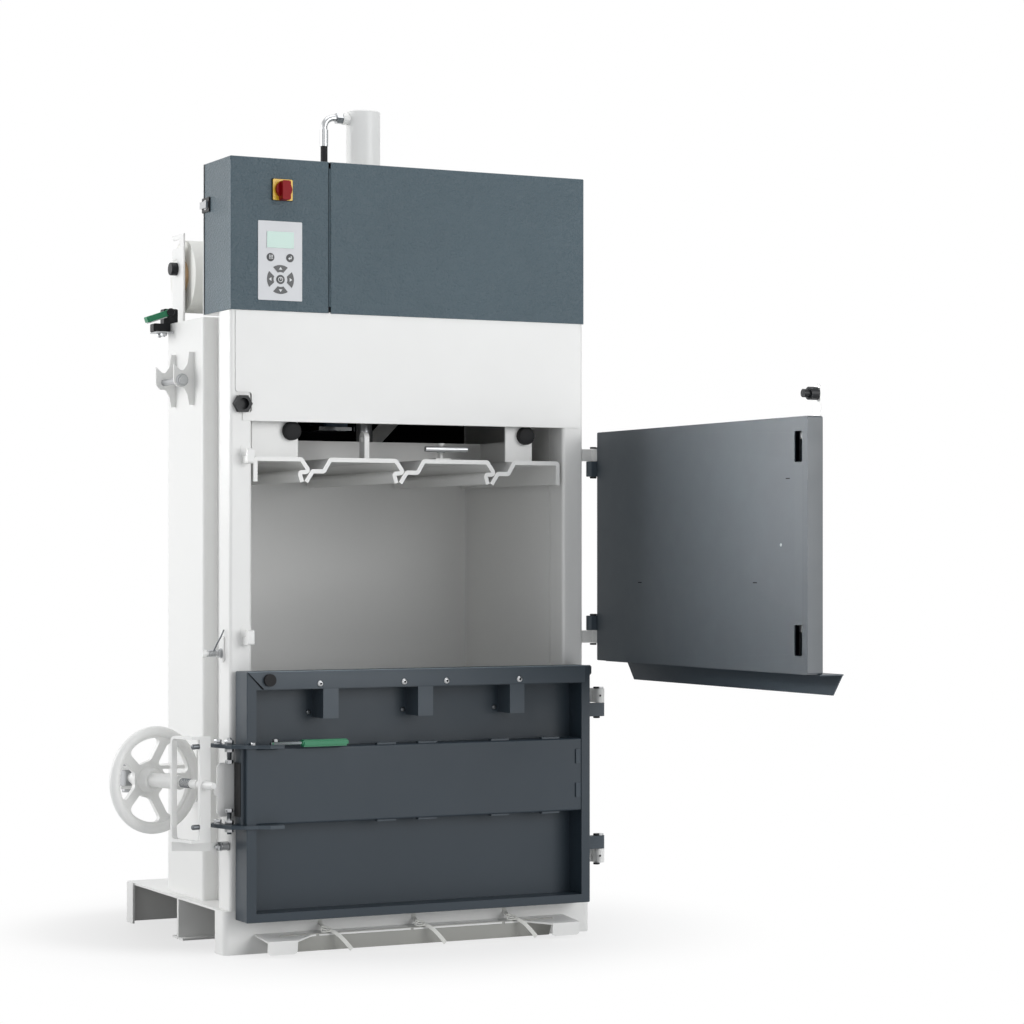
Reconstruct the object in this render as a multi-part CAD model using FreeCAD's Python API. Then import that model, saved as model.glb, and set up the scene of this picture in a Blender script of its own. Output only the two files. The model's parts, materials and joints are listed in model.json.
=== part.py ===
import FreeCAD, Part
import math
import os

# Vertical recycling baler, upper door open, millimetres, +Z up.
# Origin: on the floor, centred in width, under the foot of the middle runner.
# A "depth" below is measured backwards from the front plane of the cabinet.

# ---------------------------------------------------------------- driving dimensions
FRONT_Y = -306.5          # y of the front plane
RIGHT = FreeCAD.Vector(1, 0, 0)
BACK = FreeCAD.Vector(0, 1, 0)
UP = FreeCAD.Vector(0, 0, 1)
TOUCH = 0.01              # two places nearer than this are the same
CUT = 1.0                 # cutters run this far past the faces they open
GAP = 0.5                 # air between parts that move past each other
RUNNING_FIT = 0.05        # radial clearance of a shaft in its bore
SHAFT_RADIUS = 4.0        # small turning shafts

# frame
CABINET_HALF = 455.0      # half the width over the columns and the cabinet
HEAD_Z = 1465.0           # top of the frame, floor of the cabinet
CHAMBER_BACK = 545.0      # depth of the rear wall's inner face
COLUMN_WIDTH = 55.0
COLUMN_FRONT = 5.0
COLUMN_DEPTH = 71.0
COLUMN_WALL = 4.0
COLUMN_BEND = 8.0
WALL_SHEET = 4.0
WALL_LAP = 5.0            # the side walls weld on this far out from the columns' inner faces
REAR_SHEET = 5.0
SIDE_BOX_INSET = 15.0     # side boxes stay this far inside the columns' outer faces
SIDE_BOX_REAR_GAP = 83.0
SIDE_BOX_SHEET = 3.0
SIDE_BOX_BEND = 10.0
COLUMN_INNER = CABINET_HALF - COLUMN_WIDTH
COLUMN_BACK = COLUMN_FRONT + COLUMN_DEPTH
WALL_OUT = COLUMN_INNER + WALL_LAP
WALL_INNER = WALL_OUT - WALL_SHEET
SIDE_BOX_OUT = CABINET_HALF - SIDE_BOX_INSET
SIDE_BOX_BACK = CHAMBER_BACK - SIDE_BOX_REAR_GAP

# base
BASE_HEIGHT = 100.0
BASE_OVERHANG = 16.0      # the base is this much wider than the cabinet on each side
BASE_REAR = 135.0         # the rear runner stands this far behind the chamber
BASE_SHEET = 5.0
RUNNER_RETURN = 56.0
RUNNER_BEND = 14.0
MIDDLE_LEG = 315.5        # depth of the seam between the two channels
FOOT_FLANGE = 36.0
CHANNEL_BEND = 7.0
BASE_HALF = CABINET_HALF + BASE_OVERHANG
RUNNER_BACK = CHAMBER_BACK + BASE_REAR

# chamber floor and strap grooves
FLOOR_THICK = 12.0
FLOOR_FRONT = 6.0
STRAP_PITCH = 237.5
STRAP_MIDDLE = 2.5
STRAP_LINES = (STRAP_MIDDLE - STRAP_PITCH, STRAP_MIDDLE, STRAP_MIDDLE + STRAP_PITCH)
GROOVE_WIDTH = 14.0
GROOVE_DEPTH = 7.0
FLOOR_TOP = BASE_HEIGHT + FLOOR_THICK

# shelf and strap tails
SHELF_DROP = 55.0         # below the top of the plinth
SHELF_SIDE = 58.0         # from the cabinet's side to the end of the shelf
SHELF_REACH = 87.0
SHELF_MIDDLE = 40.0
SHELF_SHEET = 4.0
SHELF_SLOPE_DEG = 5.0
SHELF_TAB_WIDTH = 72.0
SHELF_TAB_DROP = 31.0
SHELF_TAB_ROUND = 8.0
SHELF_SWEEP = 54.0
SHELF_ROUND = 30.0
TIE_NOTCH = 22.0
TIE_NOTCH_WIDTH = 8.0
TIE_NOTCH_DEPTH = 9.0
STRAP_WIDTH = 10.0
STRAP_THICK = 1.0
STRAP_IN_GROOVE = 40.0
STRAP_RISE = 13.0
STRAP_OVER = 6.0
STRAP_TAIL = 24.0
SHELF_Z = BASE_HEIGHT - SHELF_DROP
SHELF_HALF = CABINET_HALF - SHELF_SIDE

# head beam and press cylinder
CYLINDER_DEPTH = 287.0
CYLINDER_RADIUS = 41.5
CYLINDER_BORE = 35.0
CYLINDER_LENGTH = 585.0
CYLINDER_UNDER_BEAM = 52.0
CYLINDER_CAP = 20.0
CYLINDER_GLAND = 30.0
CYLINDER_ROUND = 4.0
COLLAR_RADIUS = 66.0
COLLAR_THICK = 16.0
HEAD_SHEET = 4.0          # plate that closes the head behind the cabinet
HEAD_LAP = 15.0
BEAM_SUNK = 13.0          # the beam's top stays this far under the head
BEAM_WEB = 12.0
BEAM_FLANGE = 10.0
BEAM_DROP = 70.0
BEAM_HALF_DEPTH = 72.0
ROD_RADIUS = 22.5
PISTON_THICK = 40.0
PISTON_HEADROOM = 10.0
PORT_DROP = 20.0
PORT_REACH = 14.5
PORT_RADIUS = 14.0
NUT_FLATS = 24.0
NUT_LENGTH = 16.0
ELBOW_RADIUS = 8.0
ELBOW_BEND = 25.0
ELBOW_REACH = 47.0
ELBOW_END = 5.0
HOSE_RADIUS = 8.5
FERRULE_RADIUS = 10.0
FERRULE_LENGTH = 40.0
HOSE_DROP = 165.0
HOSE_BEND = 85.0
HOSE_HOLE = 13.0
BEAM_TOP = HEAD_Z - BEAM_SUNK
CYLINDER_BOTTOM = BEAM_TOP - CYLINDER_UNDER_BEAM
CYLINDER_TOP = CYLINDER_BOTTOM + CYLINDER_LENGTH
PISTON_REST_TOP = CYLINDER_TOP - CYLINDER_CAP - PISTON_HEADROOM
PORT_Z = CYLINDER_TOP - PORT_DROP
PORT_X = -CYLINDER_RADIUS - PORT_REACH
HOSE_X = PORT_X - ELBOW_REACH
FERRULE_TOP = PORT_Z - ELBOW_BEND - ELBOW_END
FERRULE_BOTTOM = FERRULE_TOP - FERRULE_LENGTH
HOSE_BEND_Z = FERRULE_BOTTOM - HOSE_DROP
HOSE_END_Z = HOSE_BEND_Z - HOSE_BEND
SIDE_BOX_FRONT = CYLINDER_DEPTH - BEAM_HALF_DEPTH

# cabinet
CABINET_HEIGHT = 350.0
CABINET_DEPTH = 175.0
CABINET_SHEET = 2.5
CABINET_BEND = 3.0
TRAY_SHEET = 3.0
CONTROL_WIDTH = 245.0     # from the left side to the hinge line of the left cover
SEAM_HALF = 2.8
COVER_PIN_RADIUS = 1.4
COVER_PIN_DEPTH = 2.0
KNUCKLE_RADIUS = 2.2
KNUCKLE_LOW = 76.0
KNUCKLE_LENGTH = 198.0
FIXED_KNUCKLE = 60.0
COVER_BACK_GAP = 4.0
COVER_LIFT = 1.0
COVER_WEB = 1.5
COVER_PIN_SHORT = 55.0
PANEL_SIDE = 67.0         # from the left side of the cabinet
PANEL_LOW = 25.0
PANEL_WIDTH = 108.0
PANEL_HEIGHT = 181.0
PANEL_THICK = 2.0
PANEL_CORNER = 2.0
DISPLAY_SIDE = 20.0
DISPLAY_WIDTH = 68.0
DISPLAY_LOW = 119.0
DISPLAY_HEIGHT = 39.0
DISPLAY_THICK = 1.0
SWITCH_SIDE = 126.0
SWITCH_UNDER_TOP = 72.0
SWITCH_PLATE = 48.0
SWITCH_PLATE_THICK = 6.0
SWITCH_CORNER = 3.0
KNOB_RADIUS = 19.0
KNOB_BASE = 10.0
KNOB_GRIP = 14.0
KNOB_GRIP_WIDTH = 20.0
KNOB_GRIP_OVER = 6.0
KNOB_ROUND = 4.0
LATCH_UNDER_TOP = 97.0
LATCH_REAR = 25.0
LATCH_DISC = 12.0
LATCH_DISC_THICK = 4.0
LATCH_WING = (18.0, 22.0)
LATCH_WING_HALF = 8.0
LATCH_WING_THICK = 5.0
BOX_MARGIN = 15.0
BOX_FRONT = 80.0
BOX_ROUND = 6.0
TANK_X = 20.0
TANK_MARGIN = 25.0
TANK_FRONT = 20.0
TANK_REAR_GAP = 7.0
TANK_HEIGHT = 172.0
TANK_ROUND = 10.0
MOTOR_RADIUS = 60.0
MOTOR_LENGTH = 270.0
MOTOR_START = 40.0
MOTOR_FOOT = 25.0
VALVE_REAR_GAP = 22.0     # before the tray's back plate
VALVE_DEPTH = 70.0
VALVE_WIDTH = 100.0
VALVE_SIDE = 47.0
VALVE_HEIGHT = 120.0
VALVE_UNDER = 75.0
VALVE_PEDESTAL = 40.0
COIL_RADIUS = 20.0
COIL_LENGTH = 40.0
CABINET_TOP = HEAD_Z + CABINET_HEIGHT
TRAY_FRONT = CABINET_DEPTH - TRAY_SHEET
TRAY_TOP = HEAD_Z + TRAY_SHEET
SEAM_X = CONTROL_WIDTH - CABINET_HALF
PANEL_X0 = PANEL_SIDE - CABINET_HALF
PANEL_Z0 = HEAD_Z + PANEL_LOW
SWITCH_X = SWITCH_SIDE - CABINET_HALF
SWITCH_Z = CABINET_TOP - SWITCH_UNDER_TOP
LATCH_Z = CABINET_TOP - LATCH_UNDER_TOP
LATCH_DEPTH = CABINET_DEPTH - LATCH_REAR
VALVE_BACK = TRAY_FRONT - VALVE_REAR_GAP
KNUCKLE_Z0 = HEAD_Z + KNUCKLE_LOW
KNUCKLE_Z1 = KNUCKLE_Z0 + KNUCKLE_LENGTH

# hood and sensor socket
HOOD_HEIGHT = 251.0
HOOD_SIDE = 14.0
HOOD_SHEET = 3.0
HOOD_LIP = 14.0
HOOD_CORNER = 6.0
SOCKET_SIDE = 29.0
SOCKET_OVER_HOOD = 38.0
SOCKET_FLATS = 38.0
SOCKET_OUT = 15.0
SOCKET_BORE = 13.0
SOCKET_FLOOR = 2.0
NOTCH_ROOM = 8.0          # above the socket
NOTCH_BESIDE = 24.0       # right of the socket's middle
NOTCH_TONGUE = 2.0        # the tongue ends this far right of the socket's middle
HOOD_HALF = CABINET_HALF - HOOD_SIDE
HOOD_BOTTOM = HEAD_Z - HOOD_HEIGHT
SOCKET_X = SOCKET_SIDE - CABINET_HALF
SOCKET_Z = HOOD_BOTTOM + SOCKET_OVER_HOOD
NOTCH_Z0 = SOCKET_Z - SOCKET_FLATS / 2
NOTCH_Z1 = SOCKET_Z + SOCKET_FLATS / 2 + NOTCH_ROOM
NOTCH_X = SOCKET_X + NOTCH_BESIDE
NOTCH_TONGUE_X = SOCKET_X + NOTCH_TONGUE

# platen
PLATEN_UNDER_HOOD = 83.0
PLATEN_SHEET = 6.0
PLATEN_BEND = 2.0
PLATEN_LEFT_GAP = 5.0
PLATEN_RIGHT_GAP = 11.0
PLATEN_FRONT = 5.0
PLATEN_REAR_GAP = 12.0
PLATEN_DEEP = 50.0        # from the middle of the top sheet to the lower edges
CHANNEL_PITCH = 238.0
CHANNEL_LIP = 28.0        # drop of the slanted flank
CHANNEL_SLOPE = 20.0
CHANNEL_TUCK = 25.0
CHANNEL_TUCK_DROP = 2.0
CHANNEL_KICK = 6.0
CHANNEL_STEP = 27.0
CHANNEL_LEDGE = 28.0
CHANNEL_RISE = 16.0
CHANNEL_LEAN = 15.0
CHANNEL_MOUTH = 13.0
CHANNEL_FIRST = -279.0    # where the first flank leaves the top sheet
PLATEN_BEAM_FRONT = 240.0
PLATEN_BEAM_DEPTH = 94.0
PLATEN_BEAM_HEIGHT = 50.0
PLATEN_BEAM_WALL = 5.0
PLATEN_BEAM_GAP = 28.0
GUIDE_DEPTH = 38.0
GUIDE_SHEET = 6.0
GUIDE_HEIGHT = 109.0
LEFT_GUIDE_WIDTH = 114.0
LEFT_GUIDE_GAP = 7.0
RIGHT_GUIDE_WIDTH = 71.0
RIGHT_GUIDE_GAP = 56.0
BUFFER_RADIUS = 21.0
BUFFER_OVER = 63.0
BUFFER_LENGTH = 16.0
BUFFER_ROUND = 3.0
LEFT_BUFFER_IN = 18.0
RIGHT_BUFFER_IN = 20.0
LUG_X = -100.0
LUG_THICK = 12.0
LUG_DEPTH = 30.0
LUG_HEIGHT = 65.0
LUG_HOLE = 7.0
LUG_HOLE_DOWN = 17.0
T_HANDLE_X = 94.0
T_HANDLE_OVER = 26.5
T_HANDLE_LENGTH = 108.0
T_HANDLE_RADIUS = 6.5
T_HANDLE_DEPTH = 16.0
T_PIN_DEPTH = 44.0
T_PIN = 5.0
T_EYE_WALL = 5.0
T_EYE_HALF = 7.0
T_FOOT = 6.0
T_FOOT_HALF = (20.0, 14.0)
T_HEAD = 4.0
PLATEN_TOP = HOOD_BOTTOM - PLATEN_UNDER_HOOD
PLATEN_LEFT = -COLUMN_INNER + PLATEN_LEFT_GAP
PLATEN_RIGHT = COLUMN_INNER - PLATEN_RIGHT_GAP
PLATEN_BACK = CHAMBER_BACK - PLATEN_REAR_GAP
BEAM_REST_Z = PLATEN_TOP + PLATEN_BEAM_HEIGHT
T_HANDLE_Z = PLATEN_TOP + T_HANDLE_OVER
BUFFER_Z = PLATEN_TOP + BUFFER_OVER

# door hinges: one pin line for both doors
HINGE_OUT = 37.0          # outside the cabinet
HINGE_DEPTH = -12.0
HINGE_KNUCKLE = 11.0
HINGE_PIN = 6.0
HINGE_HEAD = 3.0
HINGE_HEAD_THICK = 4.0
HINGE_ARM_BACK = 30.0
HINGE_FOOT = 22.0
HINGE_X = CABINET_HALF + HINGE_OUT

# upper door, drawn closed and swung open at rest
UPPER_OPEN_DEG = 90.0
LOWER_Z1 = 645.0          # top of the lower door
DOOR_SEAM = 10.0          # between the doors
UPPER_UNDER_HOOD = 11.0
UPPER_SIDE = 3.0          # free edge, inside the cabinet's side
UPPER_HINGE_GAP = 14.0
UPPER_THICK = 40.0
UPPER_INNER = 3.0         # depth of the face that shuts against the frame
UPPER_SHEET = 2.5
UPPER_ROUND = 4.0
SLOT_WIDTH = 30.0
SLOT_HEIGHT = 66.0
SLOT_EDGE = 21.0
SLOT_ROUND = 5.0
SLOT_END = 31.0           # upper slot to the door's top edge
SLOT_START = 39.0         # lower slot to the door's bottom edge
LATCH_THICK = 6.0
LATCH_BAR_BACK = -8.0
LATCH_WIDTH = 26.0
LATCH_CATCH = 16.0
LATCH_END = 24.0
LATCH_WINDOW = 20.0
LATCH_WINDOW_LOW = 8.0
KEEPER_PLATE = 1.0
KEEPER_PLATE_HALF = 13.0
KEEPER_PLATE_EDGE = 6.0
KEEPER_UP = 10.0
KEEPER_AHEAD = 4.0
KEEPER_HEAD = 12.0
KEEPER_HEAD_HEIGHT = 34.0
KEEPER_NECK_HEIGHT = 18.0
KEEPER_WIDTH = 16.0
KEEPER_ROUND = 5.0
GRIP_SHEET = 3.0
GRIP_OVER = 45.0          # the lip hangs this far ahead of the outer face
GRIP_LAP = 12.0
GRIP_LIP = 47.0
GRIP_LEFT = 4.0
GRIP_RIGHT = 8.0
GRIP_END_CUT = 38.0
SENSOR_BRACKET_BELOW = 117.0
SENSOR_BRACKET_ABOVE = 69.0
SENSOR_BRACKET_WIDTH = 26.0
SENSOR_BRACKET_SHEET = 3.0
SENSOR_BRACKET_ROUND = 10.0
SENSOR_BODY = 14.0
SENSOR_BODY_LENGTH = 21.0
SENSOR_NOSE = 9.0
SENSOR_NOSE_LENGTH = 14.0
UPPER_Z0 = LOWER_Z1 + DOOR_SEAM
UPPER_Z1 = HOOD_BOTTOM - UPPER_UNDER_HOOD
UPPER_LEFT = UPPER_SIDE - CABINET_HALF
UPPER_RIGHT = HINGE_X - UPPER_HINGE_GAP
UPPER_FRONT = UPPER_INNER - UPPER_THICK
SLOT_BOTTOMS = (UPPER_Z0 + SLOT_START, UPPER_Z1 - SLOT_END - SLOT_HEIGHT)
SLOT_X = UPPER_LEFT + SLOT_EDGE + SLOT_WIDTH / 2
HINGE_STEPS = (107.0, 71.0, 41.0)  # moving end, seam and fixed end of a hinge, from the door's end
HINGE_STEPS_TOP = (106.0, 68.0, 39.0)
UPPER_HINGES = (tuple(UPPER_Z1 - step for step in HINGE_STEPS_TOP),
                tuple(UPPER_Z0 + step for step in HINGE_STEPS))

# lower door
LOWER_UNDER = 20.0        # the door laps the plinth
LOWER_SIDE = 12.0
LOWER_HINGE_GAP = 59.0
LOWER_FRONT = 72.0
LOWER_BACK_GAP = 3.0
LOWER_STILE = 23.0
LOWER_BOTTOM_RAIL = 20.0
LOWER_TOP_RAIL = 41.0
LOWER_SHEET = 5.0
LOWER_INNER_SHEET = 6.0
LOWER_ROUND = 3.0
LOWER_EDGE = 2.0
LOWER_KNUCKLE_TRIM = 2.0
STIFFENER_UP = 220.0
STIFFENER_BACK = 2.0      # its front stays this far behind the door's frame
STIFFENER_HEIGHT = 172.0
STIFFENER_ROUND = 4.0
STIFFENER_SLOT = (28.0, 4.0)
STIFFENER_SLOT_BACK = 20.0
STIFFENER_PITCH = 180.0
STIFFENER_SLOTS = 4
STRAP_BRACKET_WIDTH = 38.0
STRAP_BRACKET_HEIGHT = 68.0
STRAP_BRACKET_SHEET = 4.0
BRACKET_PITCH = 238.0
BUMPER_SIDE = 54.0
BUMPER_DOWN = 19.0
BUMPER_RADIUS = 14.0
BUMPER_LENGTH = 9.0
LOWER_Z0 = BASE_HEIGHT - LOWER_UNDER
LOWER_LEFT = LOWER_SIDE - CABINET_HALF
LOWER_RIGHT = HINGE_X - LOWER_HINGE_GAP
LOWER_FACE = -LOWER_BACK_GAP - LOWER_INNER_SHEET
STIFFENER_Z0 = LOWER_Z0 + STIFFENER_UP
STIFFENER_Z1 = STIFFENER_Z0 + STIFFENER_HEIGHT
LOWER_HINGE_TOP = (126.0, 93.0, 59.0)
LOWER_HINGE_LOW = (152.0, 120.0, 86.0)
LOWER_HINGES = (tuple(LOWER_Z1 - step for step in LOWER_HINGE_TOP),
                tuple(LOWER_Z0 + step for step in LOWER_HINGE_LOW))

# hooked arms on the lower door and their lever
ARM_THICK = 8.0
ARM_OVER = 5.0            # middle of the upper arm over the stiffener
ARM_UNDER = 4.0
ARM_REACH = 45.0          # tips outside the cabinet
ARM_LAP = 81.0            # along the door's front
ARM_TIP_FRONT = 14.0
ARM_TIP_WIDTH = 24.0
ARM_SWEEP = ((23.0, -12.0), (-7.0, -8.0), (-35.0, 6.0))  # outside of the bend, from the door's corner
ARM_INSIDE = ((-41.0, 110.0), (-27.0, 78.0), (-4.0, 42.0), (-4.0, 0.0))
ARM_PAD = 26.0
ARM_PAD_LENGTH = 34.0
ARM_SPINE = (9.0, 12.0)
ARM_BOLT_OUT = 23.0
ARM_BOLT_DEPTH = -22.0
ARM_BOLT = 5.0
ARM_BOLT_HEAD = 8.0
ARM_BOLT_NUT = 9.0
LEVER_PIN = 4.0
LEVER_PIN_UP = 16.0
LEVER_IN = 18.0           # pivot from the arm's end
LEVER_OUT = 16.0          # pivot ahead of the door
LEVER_LENGTH = 173.0
LEVER_TAIL = 12.0
LEVER_HALF = 8.0
LEVER_THICK = 5.0
LEVER_GRIP = 111.0
LEVER_GRIP_HALF = 10.0
LEVER_GRIP_OVER = 2.0
UPPER_ARM_Z = STIFFENER_Z1 + ARM_OVER
LOWER_ARM_Z = STIFFENER_Z0 - ARM_UNDER
ARM_TIP_X = -CABINET_HALF - ARM_REACH
ARM_END_X = LOWER_LEFT + ARM_LAP
LEVER_X = ARM_END_X - LEVER_IN
LEVER_DEPTH = -LOWER_FRONT - LEVER_OUT

# lock with handwheel: axis through the rim centre, turned outwards
LOCK_AXIS_DEG = 16.0
LOCK_RISE = 3.5           # over the middle between the arms
WHEEL_OUT = 118.0         # rim centre outside the cabinet
WHEEL_DEPTH = 175.0
WHEEL_RADIUS = 124.0
RIM_RADIUS = 12.0
WHEEL_SPOKES = 5
HUB_DISH = 29.0
HUB_RADIUS = 34.0
HUB_THICK = 24.0
HUB_DRAFT = 6.0
SPOKE_HALF = 11.0
WEB_THICK = 12.0
WINDOW_INNER = 42.0
WINDOW_OUTER = 97.0
WINDOW_ROUND = 12.0
HUB_TUBE_RADIUS = 16.5
HUB_TUBE_END = 100.0
HUB_REAR_END = -78.0
JOURNAL = 12.0
JOURNAL_DEPTH = 9.0
SPINDLE_RADIUS = 10.0
SPINDLE_TAIL = 20.0
SPINDLE_RUN = 12.0        # bore left behind the spindle's tail
YOKE_BAR_AT = 190.0
YOKE_BAR_THICK = 8.0
YOKE_BAR_WIDTH = 30.0
YOKE_UNDER = 36.0         # bar past the lower arm
YOKE_OVER = 22.0          # bar past the upper arm
YOKE_STRAP_AT = 115.0
YOKE_STRAP_SIDE = -30.0
YOKE_STRAP_SHEET = 6.0
YOKE_STRAP_BEND = 9.0
YOKE_STRAP_WIDTH = 14.0
YOKE_PEG = 5.0
YOKE_PEG_LENGTH = 18.0
YOKE_NOSE_START = 160.0
YOKE_NOSE_END = 226.0
YOKE_NOSE_NECK = 7.0
YOKE_NOSE_RADIUS = 11.5
PIVOT_AT = -112.0
PIVOT_BLOCK = 40.0
PIVOT_ROUND = 5.0
PIVOT_PIN = 8.0
PIVOT_HEIGHT = 36.0
FORK_PLATE = 8.0
FORK_HALF = 20.0
FORK_FOOT_HALF = 40.0
FORK_BASE = (45.0, 60.0)
FORK_GAP = 0.5
GUIDE_PLATE_OUT = 32.0
GUIDE_PLATE_IN = 9.0
GUIDE_PLATE_HALF = 61.0
GUIDE_PLATE_OVER = 20.0   # lower edge over the lower arm
GUIDE_PLATE_CUT = 8.0
GUIDE_PLATE_TAB = (7.0, 10.0, 14.0)
REST_STRIP_GAP = 3.0      # under the yoke
REST_STRIP_TALL = 20.0
REST_STRIP_SHEET = 5.0
REST_STRIP_PATH = ((0.0, 22.0), (40.0, 22.0), (117.0, 64.0))  # out from the column, depth
WHEEL_X = -CABINET_HALF - WHEEL_OUT
AHEAD = FreeCAD.Vector(math.sin(math.radians(LOCK_AXIS_DEG)), -math.cos(math.radians(LOCK_AXIS_DEG)), 0)
ACROSS = FreeCAD.Vector(math.cos(math.radians(LOCK_AXIS_DEG)), math.sin(math.radians(LOCK_AXIS_DEG)), 0)
LOCK_Z = (UPPER_ARM_Z + LOWER_ARM_Z) / 2 + LOCK_RISE
YOKE_Z0 = LOWER_ARM_Z - YOKE_UNDER
YOKE_Z1 = UPPER_ARM_Z + YOKE_OVER

# strap roll holder
ROLL_BRACKET_IN = 3.0     # outer faces inside the side walls' outer faces
ROLL_BRACKET_SHEET = 4.0
ROLL_BRACKET_AHEAD = 49.0
ROLL_BRACKET_BEHIND = 32.0
ROLL_BRACKET_OVER = 83.0
ROLL_STEM = 26.0          # width of the plate beside its recesses
ROLL_HOOK = 12.0
ROLL_RECESS = 20.0
ROLL_NOTCH_OVER = 24.0
ROLL_CORNER = 5.0
ROLL_SHAFT_UP = 139.0
ROLL_SHAFT_BEFORE = 45.0  # ahead of the rear wall
ROLL_SHAFT_RADIUS = 11.0
ROLL_SHAFT_END = 12.0
ROLL_CAP = 4.0
ROLL_BORE = 29.0
ROLL_CORE = 38.0
ROLL_RADIUS = 88.0
ROLL_WIDTH = 200.0
ROLL_CORE_END = 4.0
ROLL_SIDE_GAP = 17.0      # between the outer rolls and the brackets' outer faces
ROLL_BRACKET_X = WALL_OUT - ROLL_BRACKET_IN
ROLL_PITCH = ROLL_BRACKET_X - ROLL_SIDE_GAP - ROLL_WIDTH / 2
ROLL_SHAFT_DEPTH = CHAMBER_BACK - ROLL_SHAFT_BEFORE
ROLL_SHAFT_Z = HEAD_Z + ROLL_SHAFT_UP
ROLL_BRACKET_FRONT = ROLL_SHAFT_DEPTH - ROLL_BRACKET_AHEAD
ROLL_BRACKET_BACK = ROLL_SHAFT_DEPTH + ROLL_BRACKET_BEHIND
ROLL_BRACKET_TOP = ROLL_SHAFT_Z + ROLL_BRACKET_OVER

# fittings on the left side
REST_UNDER_HEAD = 203.0
REST_HEIGHT = 125.0
REST_OUT = 50.0
REST_SHEET = 5.0
REST_FIRST = 60.0         # behind the front of the side box
REST_PITCH = 124.0
REST_BAR = 7.0
REST_BAR_OUT = 30.0
REST_BAR_UP = 58.0
REST_BAR_END = 10.0
REST_ROUND = 6.0
REST_CURVED = 0.45
REST_OUTLINE = ((0, 0), (0, 1), (12, 1), (17, 0.76), (27, 0.64), (36, 0.66), (REST_OUT, 0.76),
                (REST_OUT, 0.42), (40, 0.33), (26, 0.33), (17, 0.2), (12, 0))  # out, share of height
TENSIONER_OUT = 43.0
TENSIONER_UNDER = 21.0
TENSIONER_LAP = 19.0
TENSIONER_LONG = 24.0
TENSIONER_ROUND = 4.0
TENSIONER_PIVOT_OUT = 7.0
TENSIONER_PIVOT_UP = 26.0
TENSIONER_PIN = 5.0
TENSIONER_EYE = 10.0
TENSIONER_EYE_TRIM = 2.0
TENSIONER_WIDTH = 20.0
TENSIONER_LEVER = 62.0
TENSIONER_LEVER_THICK = 14.0
TENSIONER_SLOPE_DEG = 19.0
CATCH_DEPTH = 49.0
CATCH_Z = 684.0
CATCH_SHEET = 3.0
CATCH_HALF = 15.0
CATCH_BELOW = 20.0
CATCH_ABOVE = 40.0
CATCH_ROUND = 8.0
CATCH_STUD = 5.0
CATCH_CAP = 9.0
CATCH_LENGTH = 47.0
REST_Z0 = HEAD_Z - REST_UNDER_HEAD
REST_Z1 = REST_Z0 + REST_HEIGHT
TENSIONER_FRONT = SIDE_BOX_BACK - TENSIONER_LONG
TENSIONER_LOW = HEAD_Z - TENSIONER_UNDER
TENSIONER_PIVOT_Z = HEAD_Z + TENSIONER_PIVOT_UP


# ---------------------------------------------------------------- helpers
def at(x, depth, z):
    """Point in space from a depth behind the front plane."""
    return FreeCAD.Vector(x, FRONT_Y + depth, z)


def block(x0, x1, depth0, depth1, z0, z1):
    """Box between two corners."""
    size = (abs(x1 - x0), abs(depth1 - depth0), abs(z1 - z0))
    corner = at(min(x0, x1), min(depth0, depth1), min(z0, z1))
    return Part.makeBox(size[0], size[1], size[2], corner)


def rod(radius, start, end):
    """Cylinder between two points."""
    axis = end - start
    return Part.makeCylinder(radius, axis.Length, start, axis)


def slab(points, run):
    """Flat plate from the corners of its outline, run along a vector."""
    outline = Part.makePolygon(points + [points[0]])
    return Part.Face(outline).extrude(run)


def fuse(shapes):
    """One solid from several that touch or cross."""
    whole = shapes[0].multiFuse(shapes[1:])
    return whole.removeSplitter()


def along(edge, direction):
    """True where a straight edge runs along a direction."""
    if len(edge.Vertexes) != 2:
        return False
    line = edge.Vertexes[1].Point - edge.Vertexes[0].Point
    return line.Length > TOUCH and line.normalize().cross(direction).Length < TOUCH


def rounded(shape, radius, direction, keep=lambda middle: True):
    """Fillet the straight edges that run along a direction and pass a test."""
    edges = [e for e in shape.Edges if along(e, direction) and keep(e.CenterOfMass)]
    return shape.makeFillet(radius, edges)


def ahead_of(depth):
    """Test for edges that lie on a front face."""
    return lambda middle: middle.y < FRONT_Y + depth + TOUCH


def turned_about_hinge(shape, degrees):
    """A door's piece swung about the hinge line, positive opening."""
    placed = shape.copy()
    placed.rotate(at(HINGE_X, HINGE_DEPTH, 0), UP, degrees)
    return placed


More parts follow.
